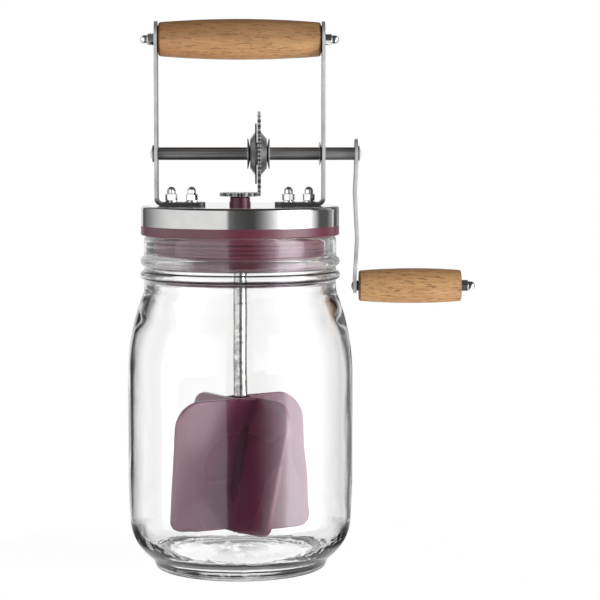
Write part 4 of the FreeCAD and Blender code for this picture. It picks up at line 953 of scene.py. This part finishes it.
def paddle():
    plastic = plum("paddle_plastic", PLUM_PLASTIC, 0.28, gloss=0.42)
    # The hub lies deep between the blades; its colour is painted half as dark, a painted shade,
    # and it is matt.
    painted_shade_hub = plum("hub_plastic", mix_colour(PLUM_PLASTIC, (0, 0, 0, 1), 0.5), 0.60, gloss=0.10)
    blades = grow(RING, "blades", blade(), crease=50, Count=4, First=math.radians(-59.5),
                  Material=plastic)
    low, high, out, bore, screw_bore, web = PADDLE_LOW, 84.2, 4.94, 3.34, 1.34, 20.8
    low_round, top_round = 0.34, 0.8
    tube = Section(screw_bore, low).line(out - low_round, low)
    tube.bend(out, low + low_round, low_round, 1, 4).line(out, high - top_round, 4)
    tube.bend(out - top_round, high, top_round, 1, 6).line(bore, high).line(bore, web)
    tube = turned("tube", tube.line(screw_bore, web).line(screw_bore, low), painted_shade_hub, steps=64)
    settle(joined("stirring_paddle", blades, tube), "stirrer", "paddle_plastic", "paddle")


# ---- finishes of the frame

def dress(nodes, material):
    for name in nodes:
        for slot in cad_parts[name].material_slots:
            slot.material = material


def dress_frame():
    dress(["lid_cap"], brushed("lid_steel", BRIGHT_STEEL, ROUND, 0.09, depth=0.0006))
    dress(["bracket_left", "bracket_right"], strip_steel("bracket_steel", foot=True))
    dress(["crank_arm"], strip_steel("crank_steel", foot=False))
    dress(["drive_axle"], drawn_steel())
    dress(["axle_end_washer", "stem_clip", "bush_retainer", "knob_pin"],
          brushed("zinc_steel", ZINC_GREY, ACROSS, 0.45, depth=0.01, mottle=0.2))
    spring_steel = brushed("spring_steel", SATIN_STEEL, ACROSS, 0.25, mottle=0.2)
    spring = Section(3.12, 0).line(3.7, 0).line(5.8, 0.45).line(5.8, 0.70).line(3.7, 1.2)
    spring = turned("spring_clip", spring.line(3.12, 1.2).line(3.12, 0), spring_steel,
                    turn=TO_X, centre=(38.3, 0, AXLE_HEIGHT))
    settle(spring, "crank", "machined_steel", "axle_clip")
    dress(["gear_washer_left", "gear_washer_right"],
          brushed("washer_steel", SATIN_STEEL, ACROSS, 0.60, mottle=0.2))
    dress(["gear_backing_disc", "gear_hub_left", "gear_hub_right"],
          brushed("pressed_steel", GEAR_GREY, ACROSS, 0.30, depth=0.01, mottle=0.15))
    dress(["paddle_stem"], brushed("stem_steel", STEM_STEEL, UPRIGHT, 0.22, mottle=0.45,
                                   grain=300))
    dress(["grip_washer_left", "grip_washer_right", "knob_spacer"],
          brushed("dark_washer", BLACK_OXIDE, NO_GRAIN, 0.4))
    dress(["lid_seal"], plum("silicone", PLUM_SILICONE, 0.30, shaded_below=148.6))
    dress(["stem_bush"], plum("bush_plastic", PLUM_PLASTIC, 0.35))


# ---- studio

def backdrop_window(sky, across, up):
    """One where a ray leaves nearly straight backwards, nought where glass bent it away."""
    return sky.times(sky.fade(sky.sums("ABSOLUTE", across), 0.24, 0.38), sky.fade(up, 0.45, 0.80))


def studio_floor():
    """A round white table top. It glows a little so that it meets the white backdrop."""
    mesh = bmesh.new()
    bmesh.ops.create_circle(mesh, cap_ends=True, segments=128, radius=140 * MM)
    floor = Finish("studio_floor")
    floor.set(Base_Color=TABLE_WHITE, Roughness=0.9, Specular_IOR_Level=0.1)
    path = floor.add("ShaderNodeLightPath").outputs
    bent = floor.sums("MAXIMUM", path["Is Glossy Ray"], path["Is Transmission Ray"])
    seen = floor.sums("MAXIMUM", path["Is Camera Ray"], bent)
    # Through the glass the ring where the jar stands and the table's sides are painted dark, a
    # painted shadow.
    ring = floor.profile(floor.length(floor.place), 0, 100, (36.5, 1.0), (38, 0.04),
                         (41.5, 0.04), (45, 1.0))
    spot = floor.axes()
    sides = floor.profile(floor.sums("ABSOLUTE", spot["X"]), 0, 1000, (54, 1.0), (62, 0.02))
    sides = floor.sums("MAXIMUM", sides, floor.profile(spot["Y"], 0, 1000, (40, 0.0), (130, 0.9)))
    shade = floor.times(bent, floor.rest(floor.times(ring, sides)))
    white, glow_share = 1.29, 0.70
    glow = floor.add("ShaderNodeEmission")
    floor.join(floor.times(floor.rest(shade), white), glow.inputs["Strength"])
    table_top = floor.layered(floor.times(seen, glow_share), floor.skin.outputs["BSDF"],
                              glow.outputs["Emission"])
    floor.join(table_top, floor.output.inputs["Surface"])
    table = placed("floor", kept(mesh, "floor"))
    table.data.materials.append(floor.material)
    table.location.z = -0.2 * MM


# What stands round the object, by the direction seen from above, in degrees from the
# camera's side, positive to the right: a backdrop, black flags and soft boxes.
ROOM = (
    (-180, 1.0), (-154, 1.0), (-152, 0.12), (-144, 0.17), (-126, 0.50), (-112, 0.88),
    (-100, 1.15), (-90, 1.30), (-78, 1.40), (-15, 1.40), (-13, 0.29), (-5, 0.165),
    (10, 0.11), (16, 0.11), (23, 0.30), (30.5, 0.70), (38, 1.30), (45, 2.0), (51, 4.6),
    (78, 4.6), (82, 2.5), (88, 2.5), (94, 1.3), (104, 0.16), (121, 0.16), (137, 0.74),
    (152, 0.6), (165, 0.16), (172, 1.0), (180, 1.0),
)


class Sky(Finish):
    """The world's node tree, with the helpers of a finish."""

    def __init__(self, world):
        world.use_nodes = True
        tree = world.node_tree
        tree.nodes.clear()
        self.nodes, self.links = tree.nodes, tree.links


def studio_light():
    world = bpy.data.worlds.new("studio")
    bpy.context.scene.world = world
    sky = Sky(world)
    across, along, up = sky.axes(sky.add("ShaderNodeTexCoord").outputs["Generated"])
    bearing = sky.sums("ARCTAN2", across, sky.times(along, -1.0))
    turn = sky.sums("ADD", sky.sums("DIVIDE", bearing, 2 * math.pi), 0.5)
    brightest = max(value for angle, value in ROOM)
    panels = sky.add("ShaderNodeFloatCurve")
    curve = panels.mapping.curves[0]
    spots = [((angle + 180) / 360, value / brightest) for angle, value in ROOM]
    for spot in spots[1:-1]:
        curve.points.new(*spot)
    curve.points[0].location, curve.points[-1].location = spots[0], spots[-1]
    for point in curve.points:
        point.handle_type = "VECTOR"
    panels.mapping.update()
    sky.join(turn, panels.inputs["Value"])
    # The soft boxes end above the object, where the room is dim.
    ceiling = 0.06
    low = sky.fade(up, 0.30, 0.75)
    room = sky.sums("ADD", sky.times(panels.outputs["Value"], brightest, low),
                    sky.times(sky.rest(low), ceiling))
    # Looked at directly the backdrop is white. Through the glass it ends at dark flags, which
    # draw the dark contours of the jar.
    path = sky.add("ShaderNodeLightPath").outputs
    plain = sky.sums("MAXIMUM", sky.sums("LESS_THAN", path["Glossy Depth"], 0.5),
                     sky.sums("LESS_THAN", path["Transmission Depth"], 2.5))
    backward = sky.sums("GREATER_THAN", along, 0.0)
    first = sky.sums("LESS_THAN", path["Diffuse Depth"], 0.5)
    through = sky.times(path["Is Transmission Ray"], plain, backward, first)
    flag = 0.02
    behind = sky.sums("ADD", sky.times(backdrop_window(sky, across, up), 1 - flag), flag)
    room = sky.sums("ADD", sky.times(room, sky.rest(through)), sky.times(behind, through))
    seen = path["Is Camera Ray"]
    glow = sky.add("ShaderNodeBackground")
    glow.inputs["Color"].default_value = (1, 1, 1, 1)
    sky.join(sky.sums("ADD", sky.times(room, sky.rest(seen)), seen), glow.inputs["Strength"])
    sky.join(glow.outputs["Background"], sky.add("ShaderNodeOutputWorld").inputs["Surface"])


def camera():
    """A long lens about a metre away, a little above the lid and tilted down."""
    lens = bpy.data.cameras.new("camera")
    lens.sensor_width = 36
    lens.lens = 125.82
    eye = placed("camera", lens)
    eye.location = (0.005, -1.025, 0.212)
    tilt, turn = 4.504, -1.357
    eye.rotation_euler = (math.radians(90 - tilt), 0, math.radians(turn))
    bpy.context.scene.camera = eye


glass_jar()
handles()
gears()
fasteners()
paddle()
dress_frame()
studio_floor()
studio_light()
camera()

scene = bpy.context.scene
scene.view_settings.view_transform = "Standard"
bpy.context.view_layer.update()
